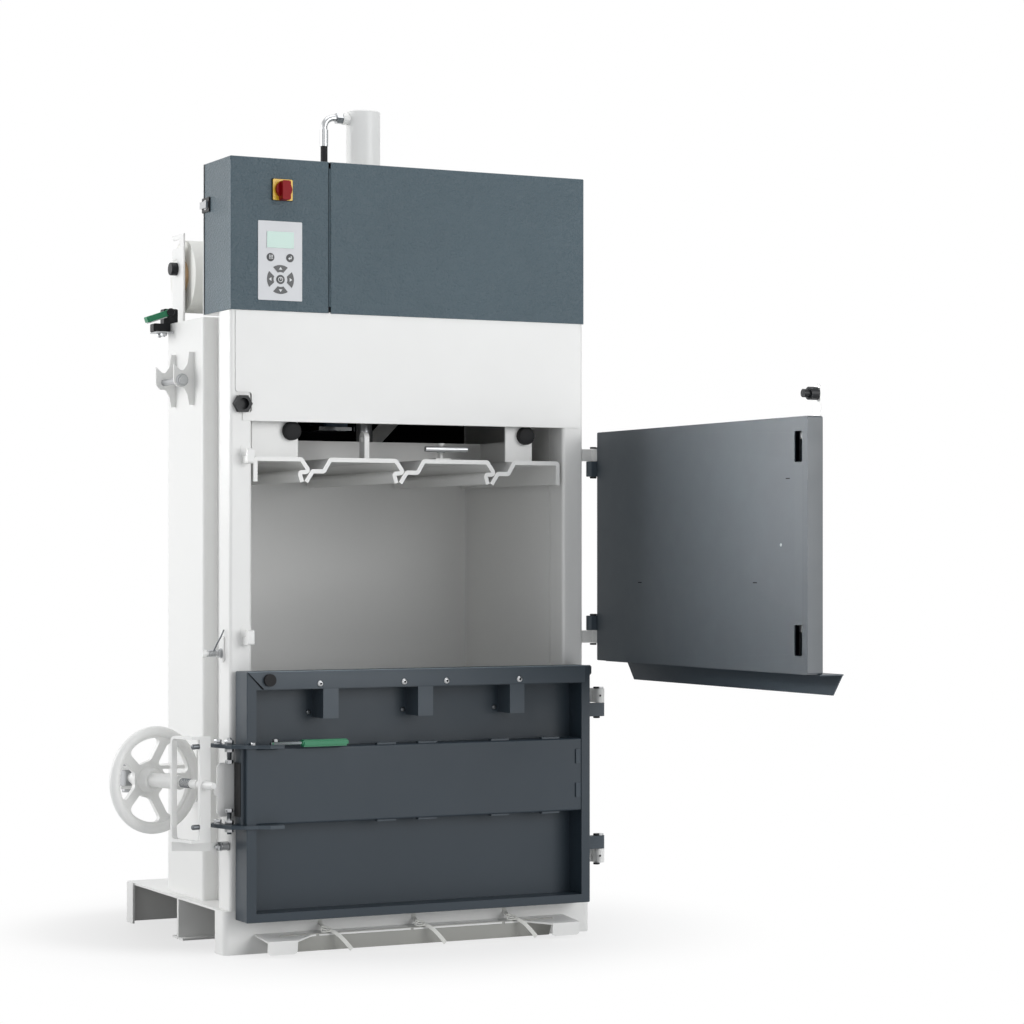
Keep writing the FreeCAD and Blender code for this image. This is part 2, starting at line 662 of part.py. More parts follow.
def bent_sheet(path, thickness, bend, place, run):
    """Folded sheet: the middle line of its section, bent at every corner, run along a vector.

    path is a list of (a, b); place turns (a, b) into a point; bend is the inner radius.
    """
    half = thickness / 2
    middle = bend + half
    count = len(path)
    left = []
    right = []
    begin = path[0]
    for index in range(1, count):
        start = path[index - 1]
        end = path[index]
        length = math.hypot(end[0] - start[0], end[1] - start[1])
        ahead = ((end[0] - start[0]) / length, (end[1] - start[1]) / length)
        side = (-ahead[1], ahead[0])
        trim = 0.0
        if index < count - 1:
            beyond = path[index + 1]
            reach = math.hypot(beyond[0] - end[0], beyond[1] - end[1])
            later = ((beyond[0] - end[0]) / reach, (beyond[1] - end[1]) / reach)
            turn = math.atan2(ahead[0] * later[1] - ahead[1] * later[0],
                              ahead[0] * later[0] + ahead[1] * later[1])
            trim = middle * math.tan(abs(turn) / 2)
        stop = (end[0] - ahead[0] * trim, end[1] - ahead[1] * trim)
        for edges, offset in ((left, half), (right, -half)):
            one = place(begin[0] + side[0] * offset, begin[1] + side[1] * offset)
            two = place(stop[0] + side[0] * offset, stop[1] + side[1] * offset)
            edges.append(Part.LineSegment(one, two).toShape())
        if index < count - 1:
            hand = 1 if turn > 0 else -1
            centre = (stop[0] + side[0] * middle * hand, stop[1] + side[1] * middle * hand)
            base = math.atan2(stop[1] - centre[1], stop[0] - centre[0])
            for edges, offset in ((left, half), (right, -half)):
                radius = middle - offset * hand
                three = [place(centre[0] + radius * math.cos(base + turn * share),
                               centre[1] + radius * math.sin(base + turn * share))
                         for share in (0, 0.5, 1)]
                edges.append(Part.Arc(three[0], three[1], three[2]).toShape())
            begin = (end[0] + later[0] * trim, end[1] + later[1] * trim)
    first = Part.LineSegment(left[0].Vertexes[0].Point, right[0].Vertexes[0].Point).toShape()
    final = Part.LineSegment(left[-1].Vertexes[1].Point, right[-1].Vertexes[1].Point).toShape()
    outline = Part.Wire(Part.__sortEdges__(left + [final] + right + [first]))
    return Part.Face(outline).extrude(run)


# ---------------------------------------------------------------- base
def end_runners():
    """Front plinth and rear runner: upright plates with their ends folded towards each other."""
    half = BASE_SHEET / 2
    side = BASE_HALF - half
    solids = []
    for face, inward in ((0.0, 1), (RUNNER_BACK, -1)):
        near = face + inward * half
        far = face + inward * RUNNER_RETURN
        path = [(-side, far), (-side, near), (side, near), (side, far)]
        solids.append(bent_sheet(path, BASE_SHEET, RUNNER_BEND - BASE_SHEET,
                                 lambda a, b: at(a, b, 0), UP * BASE_HEIGHT))
    return Part.makeCompound(solids)


def base_channels():
    """Two folded channels back to back: deck, middle legs and their foot flanges."""
    half = BASE_SHEET / 2
    inner = BASE_HALF - BASE_SHEET
    footprint = block(-inner, inner, BASE_SHEET, RUNNER_BACK - BASE_SHEET, 0, BASE_HEIGHT)
    footprint = rounded(footprint, RUNNER_BEND - BASE_SHEET, UP)
    solids = []
    for edge, away in ((BASE_SHEET, -1), (RUNNER_BACK - BASE_SHEET, 1)):
        leg = MIDDLE_LEG + away * half
        path = [(edge, BASE_HEIGHT - half), (leg, BASE_HEIGHT - half), (leg, half),
                (MIDDLE_LEG + away * FOOT_FLANGE, half)]
        sheet = bent_sheet(path, BASE_SHEET, CHANNEL_BEND - BASE_SHEET,
                           lambda a, b: at(-inner, a, b), RIGHT * (2 * inner))
        solids.append(sheet.common(footprint))
    return Part.makeCompound(solids)


def chamber_floor():
    """Thick floor plate with a groove for each strap."""
    half = COLUMN_INNER - GAP
    plate = block(-half, half, FLOOR_FRONT, CHAMBER_BACK - GAP, BASE_HEIGHT, FLOOR_TOP)
    for line in STRAP_LINES:
        groove = block(line - GROOVE_WIDTH / 2, line + GROOVE_WIDTH / 2, 0, CHAMBER_BACK,
                       FLOOR_TOP - GROOVE_DEPTH, FLOOR_TOP + CUT)
        plate = plate.cut(groove)
    return plate


def tie_shelf():
    """Folded shelf under the door that the strap ends are tied to."""
    under = SHELF_Z - SHELF_SHEET
    tab_inner = SHELF_HALF - SHELF_TAB_WIDTH
    shoulder = tab_inner - SHELF_SWEEP
    points = [at(-SHELF_HALF, 0, under), at(-SHELF_HALF, -SHELF_REACH, under)]
    points += [at(-tab_inner, -SHELF_REACH, under), at(-shoulder, -SHELF_MIDDLE, under)]
    points += [at(shoulder, -SHELF_MIDDLE, under), at(tab_inner, -SHELF_REACH, under)]
    points += [at(SHELF_HALF, -SHELF_REACH, under), at(SHELF_HALF, 0, under)]
    plate = slab(points, UP * SHELF_SHEET)
    plate = rounded(plate, SHELF_ROUND, UP, lambda m: abs(abs(m.x) - shoulder) < TOUCH)
    tabs = []
    for hand in (-1, 1):
        tab = block(hand * tab_inner, hand * SHELF_HALF, -SHELF_REACH, -SHELF_REACH + SHELF_SHEET,
                    SHELF_Z - SHELF_TAB_DROP, SHELF_Z)
        tabs.append(rounded(tab, SHELF_TAB_ROUND, BACK, lambda m: m.z < under))
    shelf = fuse([plate] + tabs)
    for line in STRAP_LINES:
        for side in (-1, 1):
            x = line + side * TIE_NOTCH
            notch = block(x - TIE_NOTCH_WIDTH / 2, x + TIE_NOTCH_WIDTH / 2, -SHELF_MIDDLE - CUT,
                          -SHELF_MIDDLE + TIE_NOTCH_DEPTH, under - CUT, SHELF_Z + CUT)
            shelf = shelf.cut(notch)
    shelf.rotate(at(0, 0, under), RIGHT, SHELF_SLOPE_DEG)
    return shelf


def strap_tail(line):
    """Woven strap from its floor groove down over the shelf, with a free tail."""
    drop = LOWER_BACK_GAP / 2
    groove = FLOOR_TOP - GROOVE_DEPTH + STRAP_THICK
    path = [(FLOOR_FRONT + STRAP_IN_GROOVE, groove), (-drop, groove), (-drop, SHELF_Z + STRAP_RISE),
            (-SHELF_MIDDLE - STRAP_OVER, SHELF_Z + STRAP_THICK),
            (-SHELF_MIDDLE - STRAP_OVER - STRAP_TAIL, STRAP_WIDTH)]
    return bent_sheet(path, STRAP_THICK, STRAP_THICK,
                      lambda a, b: at(line - STRAP_WIDTH / 2, a, b), RIGHT * STRAP_WIDTH)


# ---------------------------------------------------------------- frame
def columns():
    """Front columns: rectangular tubes with rounded corners."""
    solids = []
    for hand in (-1, 1):
        outer = block(hand * COLUMN_INNER, hand * CABINET_HALF, COLUMN_FRONT, COLUMN_BACK,
                      BASE_HEIGHT, HEAD_Z)
        outer = rounded(outer, COLUMN_BEND, UP)
        inner = block(hand * (COLUMN_INNER + COLUMN_WALL), hand * (CABINET_HALF - COLUMN_WALL),
                      COLUMN_FRONT + COLUMN_WALL, COLUMN_BACK - COLUMN_WALL, BASE_HEIGHT, HEAD_Z)
        inner = rounded(inner, COLUMN_BEND - COLUMN_WALL, UP)
        solids.append(outer.cut(inner))
    return Part.makeCompound(solids)


def side_walls():
    """Chamber side walls behind the columns."""
    solids = [block(hand * WALL_INNER, hand * WALL_OUT, COLUMN_BACK, CHAMBER_BACK, BASE_HEIGHT, HEAD_Z)
              for hand in (-1, 1)]
    return Part.makeCompound(solids)


def side_boxes():
    """Folded stiffening boxes on the outside of the side walls, closed by a lid."""
    half = SIDE_BOX_SHEET / 2
    solids = []
    for hand in (-1, 1):
        face = hand * (SIDE_BOX_OUT - half)
        wall = hand * WALL_OUT
        path = [(wall, SIDE_BOX_FRONT + half), (face, SIDE_BOX_FRONT + half),
                (face, SIDE_BOX_BACK - half), (wall, SIDE_BOX_BACK - half)]
        box = bent_sheet(path, SIDE_BOX_SHEET, SIDE_BOX_BEND - SIDE_BOX_SHEET,
                         lambda a, b: at(a, b, BASE_HEIGHT), UP * (HEAD_Z - BASE_HEIGHT))
        lid = block(wall, hand * (SIDE_BOX_OUT - SIDE_BOX_SHEET), SIDE_BOX_FRONT + SIDE_BOX_SHEET,
                    SIDE_BOX_BACK - SIDE_BOX_SHEET, HEAD_Z - SIDE_BOX_SHEET, HEAD_Z)
        lid = rounded(lid, SIDE_BOX_BEND - SIDE_BOX_SHEET, UP, lambda m: abs(m.x) > WALL_OUT + TOUCH)
        solids.append(fuse([box, lid]))
    return Part.makeCompound(solids)


def rear_wall():
    """Rear wall of the chamber."""
    return block(-WALL_OUT, WALL_OUT, CHAMBER_BACK, CHAMBER_BACK + REAR_SHEET, BASE_HEIGHT, HEAD_Z)


def head_beam():
    """Channel that takes the push of the cylinder, welded under the plate that closes the head."""
    front = CYLINDER_DEPTH - BEAM_HALF_DEPTH
    back = CYLINDER_DEPTH + BEAM_HALF_DEPTH
    web_bottom = BEAM_TOP - BEAM_WEB
    web = block(-WALL_INNER, WALL_INNER, front, back, web_bottom, BEAM_TOP)
    plate = block(-WALL_INNER, WALL_INNER, CABINET_DEPTH - HEAD_LAP, CHAMBER_BACK,
                  BEAM_TOP - HEAD_SHEET, BEAM_TOP)
    legs = [block(-WALL_INNER, WALL_INNER, depth, depth + BEAM_FLANGE, web_bottom - BEAM_DROP, web_bottom)
            for depth in (front, back - BEAM_FLANGE)]
    beam = fuse([web, plate] + legs)
    return beam.cut(rod(CYLINDER_RADIUS + GAP, at(0, CYLINDER_DEPTH, web_bottom - CUT),
                        at(0, CYLINDER_DEPTH, BEAM_TOP + CUT)))


def front_hood():
    """Folded cover over the head, notched round the sensor socket."""
    outline = [(NOTCH_TONGUE_X, HOOD_BOTTOM), (HOOD_HALF, HOOD_BOTTOM), (HOOD_HALF, HEAD_Z),
               (-HOOD_HALF, HEAD_Z), (-HOOD_HALF, NOTCH_Z1), (NOTCH_X, NOTCH_Z1),
               (NOTCH_X, NOTCH_Z0), (NOTCH_TONGUE_X, NOTCH_Z0)]
    sheet = slab([at(x, COLUMN_FRONT - HOOD_SHEET, z) for x, z in outline], BACK * HOOD_SHEET)
    sheet = rounded(sheet, HOOD_CORNER, BACK,
                    lambda m: abs(m.x - NOTCH_X) < TOUCH
                    or (m.x < -HOOD_HALF + TOUCH and m.z < HEAD_Z - TOUCH))
    half = COLUMN_INNER - GAP
    lip = block(-half, half, COLUMN_FRONT, COLUMN_FRONT + HOOD_LIP, HOOD_BOTTOM, HOOD_BOTTOM + HOOD_SHEET)
    return fuse([sheet, lip])


def hexagon(flats, centre, across):
    """Corners of an upright hexagon; across is the direction of its flat side's normal."""
    radius = flats / math.sqrt(3)
    steps = [math.radians(60 * step) for step in range(6)]
    return [centre + across * (radius * math.cos(step)) + UP * (radius * math.sin(step)) for step in steps]


def sensor_socket():
    """Hexagonal socket on the left column that the door sensor plugs into."""
    front = COLUMN_FRONT - SOCKET_OUT
    body = slab(hexagon(SOCKET_FLATS, at(SOCKET_X, front, SOCKET_Z), RIGHT), BACK * SOCKET_OUT)
    return body.cut(rod(SOCKET_BORE, at(SOCKET_X, front - CUT, SOCKET_Z),
                        at(SOCKET_X, COLUMN_FRONT - SOCKET_FLOOR, SOCKET_Z)))


def door_keepers():
    """Headed studs on the left column that the latch bar hooks behind."""
    neck_front = LATCH_BAR_BACK - LATCH_THICK - KEEPER_AHEAD
    head_front = neck_front - KEEPER_HEAD
    half = KEEPER_WIDTH / 2
    foot = COLUMN_FRONT - KEEPER_PLATE
    solids = []
    for bottom in SLOT_BOTTOMS:
        low = bottom + KEEPER_UP
        plate = block(SLOT_X - KEEPER_PLATE_HALF, SLOT_X + KEEPER_PLATE_HALF, foot, COLUMN_FRONT,
                      low - KEEPER_PLATE_EDGE, low + KEEPER_HEAD_HEIGHT + 2 * KEEPER_PLATE_EDGE)
        plate = rounded(plate, KEEPER_PLATE_HALF - GAP, BACK)
        neck = block(SLOT_X - half, SLOT_X + half, neck_front, foot, low, low + KEEPER_NECK_HEIGHT)
        head = block(SLOT_X - half, SLOT_X + half, head_front, neck_front, low, low + KEEPER_HEAD_HEIGHT)
        head = rounded(head, KEEPER_ROUND, RIGHT, ahead_of(head_front))
        solids.append(fuse([plate, neck, head]))
    return Part.makeCompound(solids)


def hinge_blocks():
    """Fixed hinge knuckles welded to the right column, with an arm round its corner."""
    solids = []
    for moving_edge, seam, fixed_edge in UPPER_HINGES + LOWER_HINGES:
        low = min(seam, fixed_edge) + GAP / 2
        high = max(seam, fixed_edge) - GAP / 2
        knuckle = rod(HINGE_KNUCKLE, at(HINGE_X, HINGE_DEPTH, low), at(HINGE_X, HINGE_DEPTH, high))
        stem = block(HINGE_X - HINGE_KNUCKLE, HINGE_X + HINGE_KNUCKLE, HINGE_DEPTH, HINGE_ARM_BACK,
                     low, high)
        foot = block(CABINET_HALF, HINGE_X, HINGE_ARM_BACK - HINGE_FOOT, HINGE_ARM_BACK, low, high)
        bore = rod(HINGE_PIN, at(HINGE_X, HINGE_DEPTH, low - CUT), at(HINGE_X, HINGE_DEPTH, high + CUT))
        solids.append(fuse([knuckle, stem, foot]).cut(bore))
    return Part.makeCompound(solids)


def hinge_pins():
    """Pins with a head, held by the fixed knuckles."""
    solids = []
    for moving_edge, seam, fixed_edge in UPPER_HINGES + LOWER_HINGES:
        low = min(moving_edge, fixed_edge)
        high = max(moving_edge, fixed_edge)
        pin = rod(HINGE_PIN, at(HINGE_X, HINGE_DEPTH, low), at(HINGE_X, HINGE_DEPTH, high))
        head = rod(HINGE_PIN + HINGE_HEAD, at(HINGE_X, HINGE_DEPTH, high),
                   at(HINGE_X, HINGE_DEPTH, high + HINGE_HEAD_THICK))
        solids.append(fuse([pin, head]))
    return Part.makeCompound(solids)


def moving_knuckle(moving_edge, seam, door_right, closed_back):
    """Knuckle and arm of a door, drawn with the door closed."""
    low = min(moving_edge, seam) + GAP
    high = max(moving_edge, seam) - GAP
    knuckle = rod(HINGE_KNUCKLE, at(HINGE_X, HINGE_DEPTH, low), at(HINGE_X, HINGE_DEPTH, high))
    arm = block(door_right - CUT, HINGE_X, HINGE_DEPTH - HINGE_KNUCKLE, closed_back, low, high)
    bore = rod(HINGE_PIN + RUNNING_FIT, at(HINGE_X, HINGE_DEPTH, low - CUT),
               at(HINGE_X, HINGE_DEPTH, high + CUT))
    return fuse([knuckle, arm]).cut(bore)


# ---------------------------------------------------------------- press cylinder and its hose
def upright(radius, low, high):
    """Cylinder on the press axis."""
    return rod(radius, at(0, CYLINDER_DEPTH, low), at(0, CYLINDER_DEPTH, high))


def cylinder_barrel():
    """Press cylinder: tube with cap, gland, port boss and the collar it hangs by."""
    body = upright(CYLINDER_RADIUS, CYLINDER_BOTTOM, CYLINDER_TOP)
    body = body.makeFillet(CYLINDER_ROUND, [e for e in body.Edges if e.CenterOfMass.z > CYLINDER_TOP - TOUCH])
    collar = upright(COLLAR_RADIUS, BEAM_TOP, BEAM_TOP + COLLAR_THICK)
    boss = rod(PORT_RADIUS, at(PORT_X, CYLINDER_DEPTH, PORT_Z), at(-CYLINDER_BORE, CYLINDER_DEPTH, PORT_Z))
    whole = fuse([body, collar, boss])
    gland_top = CYLINDER_BOTTOM + CYLINDER_GLAND
    whole = whole.cut(upright(CYLINDER_BORE, gland_top, CYLINDER_TOP - CYLINDER_CAP))
    return whole.cut(upright(ROD_RADIUS + RUNNING_FIT, CYLINDER_BOTTOM - CUT, gland_top + CUT))


def swept_tube(radius, points, direction, turn_mid):
    """Round bar along a straight, a quarter turn and a straight."""
    wire = Part.Wire([Part.LineSegment(points[0], points[1]).toShape(),
                      Part.Arc(points[1], turn_mid, points[2]).toShape(),
                      Part.LineSegment(points[2], points[3]).toShape()])
    start = Part.Wire([Part.Circle(points[0], direction, radius).toShape()])
    return wire.makePipeShell([start], True, False)


def port_elbow():
    """Union nut, bent tube and ferrule at the cylinder port."""
    nut = slab(hexagon(NUT_FLATS, at(PORT_X, CYLINDER_DEPTH, PORT_Z), BACK), RIGHT * -NUT_LENGTH)
    bend_x = HOSE_X + ELBOW_BEND
    bend_z = PORT_Z - ELBOW_BEND
    turn = ELBOW_BEND * math.sqrt(0.5)
    points = [at(PORT_X - NUT_LENGTH / 2, CYLINDER_DEPTH, PORT_Z), at(bend_x, CYLINDER_DEPTH, PORT_Z),
              at(HOSE_X, CYLINDER_DEPTH, bend_z),
              at(HOSE_X, CYLINDER_DEPTH, (FERRULE_TOP + FERRULE_BOTTOM) / 2)]
    tube = swept_tube(ELBOW_RADIUS, points, RIGHT, at(bend_x - turn, CYLINDER_DEPTH, bend_z + turn))
    ferrule = rod(FERRULE_RADIUS, at(HOSE_X, CYLINDER_DEPTH, FERRULE_TOP),
                  at(HOSE_X, CYLINDER_DEPTH, FERRULE_BOTTOM))
    return fuse([nut, tube, ferrule])


def hydraulic_hose():
    """Hose from the ferrule down and forward into the cabinet."""
    bend_depth = CYLINDER_DEPTH - HOSE_BEND
    turn = HOSE_BEND * math.sqrt(0.5)
    points = [at(HOSE_X, CYLINDER_DEPTH, FERRULE_BOTTOM), at(HOSE_X, CYLINDER_DEPTH, HOSE_BEND_Z),
              at(HOSE_X, bend_depth, HOSE_END_Z), at(HOSE_X, VALVE_BACK, HOSE_END_Z)]
    return swept_tube(HOSE_RADIUS, points, UP, at(HOSE_X, bend_depth + turn, HOSE_BEND_Z - turn))


# ---------------------------------------------------------------- cabinet
def cabinet_tray():
    """Floor and back plate of the cabinet, with the clearance hole for the hose."""
    inset = CABINET_HALF - CABINET_SHEET - GAP
    floor = block(-inset, inset, TRAY_SHEET, CABINET_DEPTH, HEAD_Z, TRAY_TOP)
    plate = block(-CABINET_HALF, CABINET_HALF, TRAY_FRONT, CABINET_DEPTH, HEAD_Z, CABINET_TOP)
    hole = rod(HOSE_HOLE, at(HOSE_X, TRAY_FRONT - CUT, HOSE_END_Z),
               at(HOSE_X, CABINET_DEPTH + CUT, HOSE_END_Z))
    return fuse([floor, plate]).cut(hole)


def cover_shell(x0, x1, closed_side, back, low, knuckles):
    """Folded cover: front, top and one side, with hinge knuckles at the other side."""
    outer = block(x0, x1, 0, back, low, CABINET_TOP)
    corner = x0 if closed_side < 0 else x1
    seam = x1 if closed_side < 0 else x0
    outer = rounded(outer, CABINET_BEND, UP,
                    lambda m: abs(m.x - corner) < TOUCH and m.y < FRONT_Y + TOUCH)
    outer = rounded(outer, CABINET_BEND, RIGHT,
                    lambda m: m.y < FRONT_Y + TOUCH and m.z > CABINET_TOP - TOUCH)
    inner = block(seam - closed_side * CUT, corner - closed_side * CABINET_SHEET, CABINET_SHEET,
                  back + CUT, low - CUT, CABINET_TOP - CABINET_SHEET)
    tubes = []
    for bottom, top in knuckles:
        tubes.append(rod(KNUCKLE_RADIUS, at(SEAM_X, COVER_PIN_DEPTH, bottom),
                         at(SEAM_X, COVER_PIN_DEPTH, top)))
        tubes.append(block(seam + closed_side, SEAM_X, COVER_PIN_DEPTH - COVER_WEB / 2,
                           COVER_PIN_DEPTH + COVER_WEB / 2, bottom, top))
    return fuse([outer.cut(inner)] + tubes)


def cabinet_cover():
    """Right cover of the cabinet with the pin of the left cover's hinge."""
    knuckles = ((KNUCKLE_Z0 - GAP - FIXED_KNUCKLE, KNUCKLE_Z0 - GAP),
                (KNUCKLE_Z1 + GAP, KNUCKLE_Z1 + GAP + FIXED_KNUCKLE))
    cover = cover_shell(SEAM_X + SEAM_HALF, CABINET_HALF, 1, TRAY_FRONT, HEAD_Z, knuckles)
    pin = rod(COVER_PIN_RADIUS, at(SEAM_X, COVER_PIN_DEPTH, knuckles[0][0] + COVER_PIN_SHORT),
              at(SEAM_X, COVER_PIN_DEPTH, knuckles[1][1] - COVER_PIN_SHORT))
    return fuse([cover, pin])


def control_cover():
    """Left cover of the cabinet that swings open over the control box."""
    cover = cover_shell(-CABINET_HALF, SEAM_X - SEAM_HALF, -1, TRAY_FRONT - COVER_BACK_GAP,
                        HEAD_Z + COVER_LIFT, ((KNUCKLE_Z0, KNUCKLE_Z1),))
    pin_bore = rod(COVER_PIN_RADIUS + RUNNING_FIT, at(SEAM_X, COVER_PIN_DEPTH, KNUCKLE_Z0 - CUT),
                   at(SEAM_X, COVER_PIN_DEPTH, KNUCKLE_Z1 + CUT))
    switch_bore = rod(SHAFT_RADIUS + RUNNING_FIT, at(SWITCH_X, -CUT, SWITCH_Z),
                      at(SWITCH_X, CABINET_SHEET + CUT, SWITCH_Z))
    latch_bore = rod(SHAFT_RADIUS + RUNNING_FIT, at(-CABINET_HALF - CUT, LATCH_DEPTH, LATCH_Z),
                     at(-CABINET_HALF + CABINET_SHEET + CUT, LATCH_DEPTH, LATCH_Z))
    return cover.cut(pin_bore).cut(switch_bore).cut(latch_bore)


def control_panel():
    """Membrane panel with its raised display window."""
    plate = block(PANEL_X0, PANEL_X0 + PANEL_WIDTH, -PANEL_THICK, 0, PANEL_Z0, PANEL_Z0 + PANEL_HEIGHT)
    plate = rounded(plate, PANEL_CORNER, BACK)
    left = PANEL_X0 + DISPLAY_SIDE
    low = PANEL_Z0 + DISPLAY_LOW
    window = block(left, left + DISPLAY_WIDTH, -PANEL_THICK - DISPLAY_THICK, -PANEL_THICK,
                   low, low + DISPLAY_HEIGHT)
    return fuse([plate, window])


def switch_plate():
    """Square plate behind the main switch."""
    half = SWITCH_PLATE / 2
    plate = block(SWITCH_X - half, SWITCH_X + half, -SWITCH_PLATE_THICK, 0, SWITCH_Z - half, SWITCH_Z + half)
    plate = rounded(plate, SWITCH_CORNER, BACK)
    return plate.cut(rod(SHAFT_RADIUS + RUNNING_FIT, at(SWITCH_X, -SWITCH_PLATE_THICK - CUT, SWITCH_Z),
                         at(SWITCH_X, CUT, SWITCH_Z)))


def switch_knob():
    """Rotary main switch: disc, grip bar and shaft."""
    rear = -SWITCH_PLATE_THICK - GAP
    half = KNOB_GRIP_WIDTH / 2
    disc = rod(KNOB_RADIUS, at(SWITCH_X, rear, SWITCH_Z), at(SWITCH_X, rear - KNOB_BASE, SWITCH_Z))
    grip = block(SWITCH_X - half, SWITCH_X + half, rear - KNOB_BASE - KNOB_GRIP, rear,
                 SWITCH_Z - KNOB_RADIUS - KNOB_GRIP_OVER, SWITCH_Z + KNOB_RADIUS)
    grip = rounded(grip, KNOB_ROUND, BACK)
    shaft = rod(SHAFT_RADIUS, at(SWITCH_X, rear, SWITCH_Z), at(SWITCH_X, CABINET_SHEET, SWITCH_Z))
    return fuse([disc, grip, shaft])


def cover_latch():
    """Quarter-turn lock on the left side of the cabinet."""
    face = -CABINET_HALF - GAP
    ahead, behind = LATCH_WING
    disc_face = face - LATCH_DISC_THICK
    disc = rod(LATCH_DISC, at(face, LATCH_DEPTH, LATCH_Z), at(disc_face, LATCH_DEPTH, LATCH_Z))
    wing = block(disc_face - LATCH_WING_THICK, disc_face, LATCH_DEPTH - ahead, LATCH_DEPTH + behind,
                 LATCH_Z - LATCH_WING_HALF, LATCH_Z + LATCH_WING_HALF)
    shaft = rod(SHAFT_RADIUS, at(face, LATCH_DEPTH, LATCH_Z),
                at(-CABINET_HALF + CABINET_SHEET, LATCH_DEPTH, LATCH_Z))
    return fuse([disc, wing, shaft])


def control_box():
    """Closed box with the electrical controls, on the back plate."""
    box = block(-CABINET_HALF + BOX_MARGIN, SEAM_X - BOX_MARGIN, BOX_FRONT, TRAY_FRONT,
                HEAD_Z + BOX_MARGIN, CABINET_TOP - TANK_MARGIN)
    return rounded(box, BOX_ROUND, UP, ahead_of(BOX_FRONT))


def oil_tank():
    """Tank of the power pack on the cabinet floor."""
    tank = block(TANK_X, CABINET_HALF - TANK_MARGIN, TANK_FRONT, TRAY_FRONT - TANK_REAR_GAP,
                 TRAY_TOP, TRAY_TOP + TANK_HEIGHT)
    return rounded(tank, TANK_ROUND, UP)


def pump_motor():
    """Motor of the pump lying on the tank."""
    depth = (TANK_FRONT + TRAY_FRONT - TANK_REAR_GAP) / 2
    tank_top = TRAY_TOP + TANK_HEIGHT
    axis = tank_top + MOTOR_RADIUS + GAP
    start = TANK_X + MOTOR_START
    body = rod(MOTOR_RADIUS, at(start, depth, axis), at(start + MOTOR_LENGTH, depth, axis))
    foot = block(start + MOTOR_FOOT, start + MOTOR_LENGTH - MOTOR_FOOT, depth - MOTOR_FOOT,
                 depth + MOTOR_FOOT, tank_top, axis)
    return fuse([body, foot])


def valve_block():
    """Valve block on its pedestal, with the port of the hose at its rear."""
    left = HOSE_X - VALVE_SIDE
    right = left + VALVE_WIDTH
    low = HOSE_END_Z - VALVE_UNDER
    front = VALVE_BACK - VALVE_DEPTH
    depth = VALVE_BACK - VALVE_DEPTH / 2
    body = block(left, right, front, VALVE_BACK, low, low + VALVE_HEIGHT)
    body = rounded(body, CYLINDER_ROUND, UP)
    pedestal = block(HOSE_X - VALVE_PEDESTAL / 2, HOSE_X + VALVE_PEDESTAL / 2,
                     depth - VALVE_PEDESTAL / 2, depth + VALVE_PEDESTAL / 2, TRAY_TOP, low)
    coil = rod(COIL_RADIUS, at(right, depth, HOSE_END_Z), at(right + COIL_LENGTH, depth, HOSE_END_Z))
    return fuse([body, pedestal, coil])


# ---------------------------------------------------------------- platen
def channel_side(x, top, low):
    """Folds from the top sheet down the left side of a strap channel."""
    return [(x, top), (x + CHANNEL_SLOPE, top - CHANNEL_LIP),
            (x + CHANNEL_SLOPE - CHANNEL_TUCK, top - CHANNEL_LIP - CHANNEL_TUCK_DROP),
            (x + CHANNEL_SLOPE - CHANNEL_TUCK + CHANNEL_KICK, low)]


def channel_ledge(x, top, low):
    """Folds up the right side of a strap channel to the top sheet."""
    start = x + CHANNEL_MOUTH
    return [(start, low), (start + CHANNEL_LEAN, top - CHANNEL_STEP),
            (start + CHANNEL_LEAN + CHANNEL_LEDGE, top - CHANNEL_STEP),
            (start + CHANNEL_LEAN + CHANNEL_LEDGE + CHANNEL_RISE, top)]


def platen():
    """Pressing plate of four folded sections with dovetailed strap channels between them."""
    half = PLATEN_SHEET / 2
    top = PLATEN_TOP - half
    low = top - PLATEN_DEEP
    channels = [CHANNEL_FIRST + index * CHANNEL_PITCH for index in range(3)]
    paths = [[(PLATEN_LEFT + half, low), (PLATEN_LEFT + half, top)] + channel_side(channels[0], top, low)]
    paths += [channel_ledge(channels[index], top, low) + channel_side(channels[index + 1], top, low)
              for index in range(2)]
    paths += [channel_ledge(channels[2], top, low) + [(PLATEN_RIGHT - half, top), (PLATEN_RIGHT - half, low)]]
    solids = [bent_sheet(path, PLATEN_SHEET, PLATEN_BEND, lambda a, b: at(a, PLATEN_FRONT, b),
                         BACK * (PLATEN_BACK - PLATEN_FRONT)) for path in paths]
    return Part.makeCompound(solids)


def guide_spans():
    """Left and right ends of the two guide plates."""
    left = PLATEN_LEFT + LEFT_GUIDE_GAP
    right = PLATEN_RIGHT - RIGHT_GUIDE_GAP
    return ((left, left + LEFT_GUIDE_WIDTH), (right - RIGHT_GUIDE_WIDTH, right))


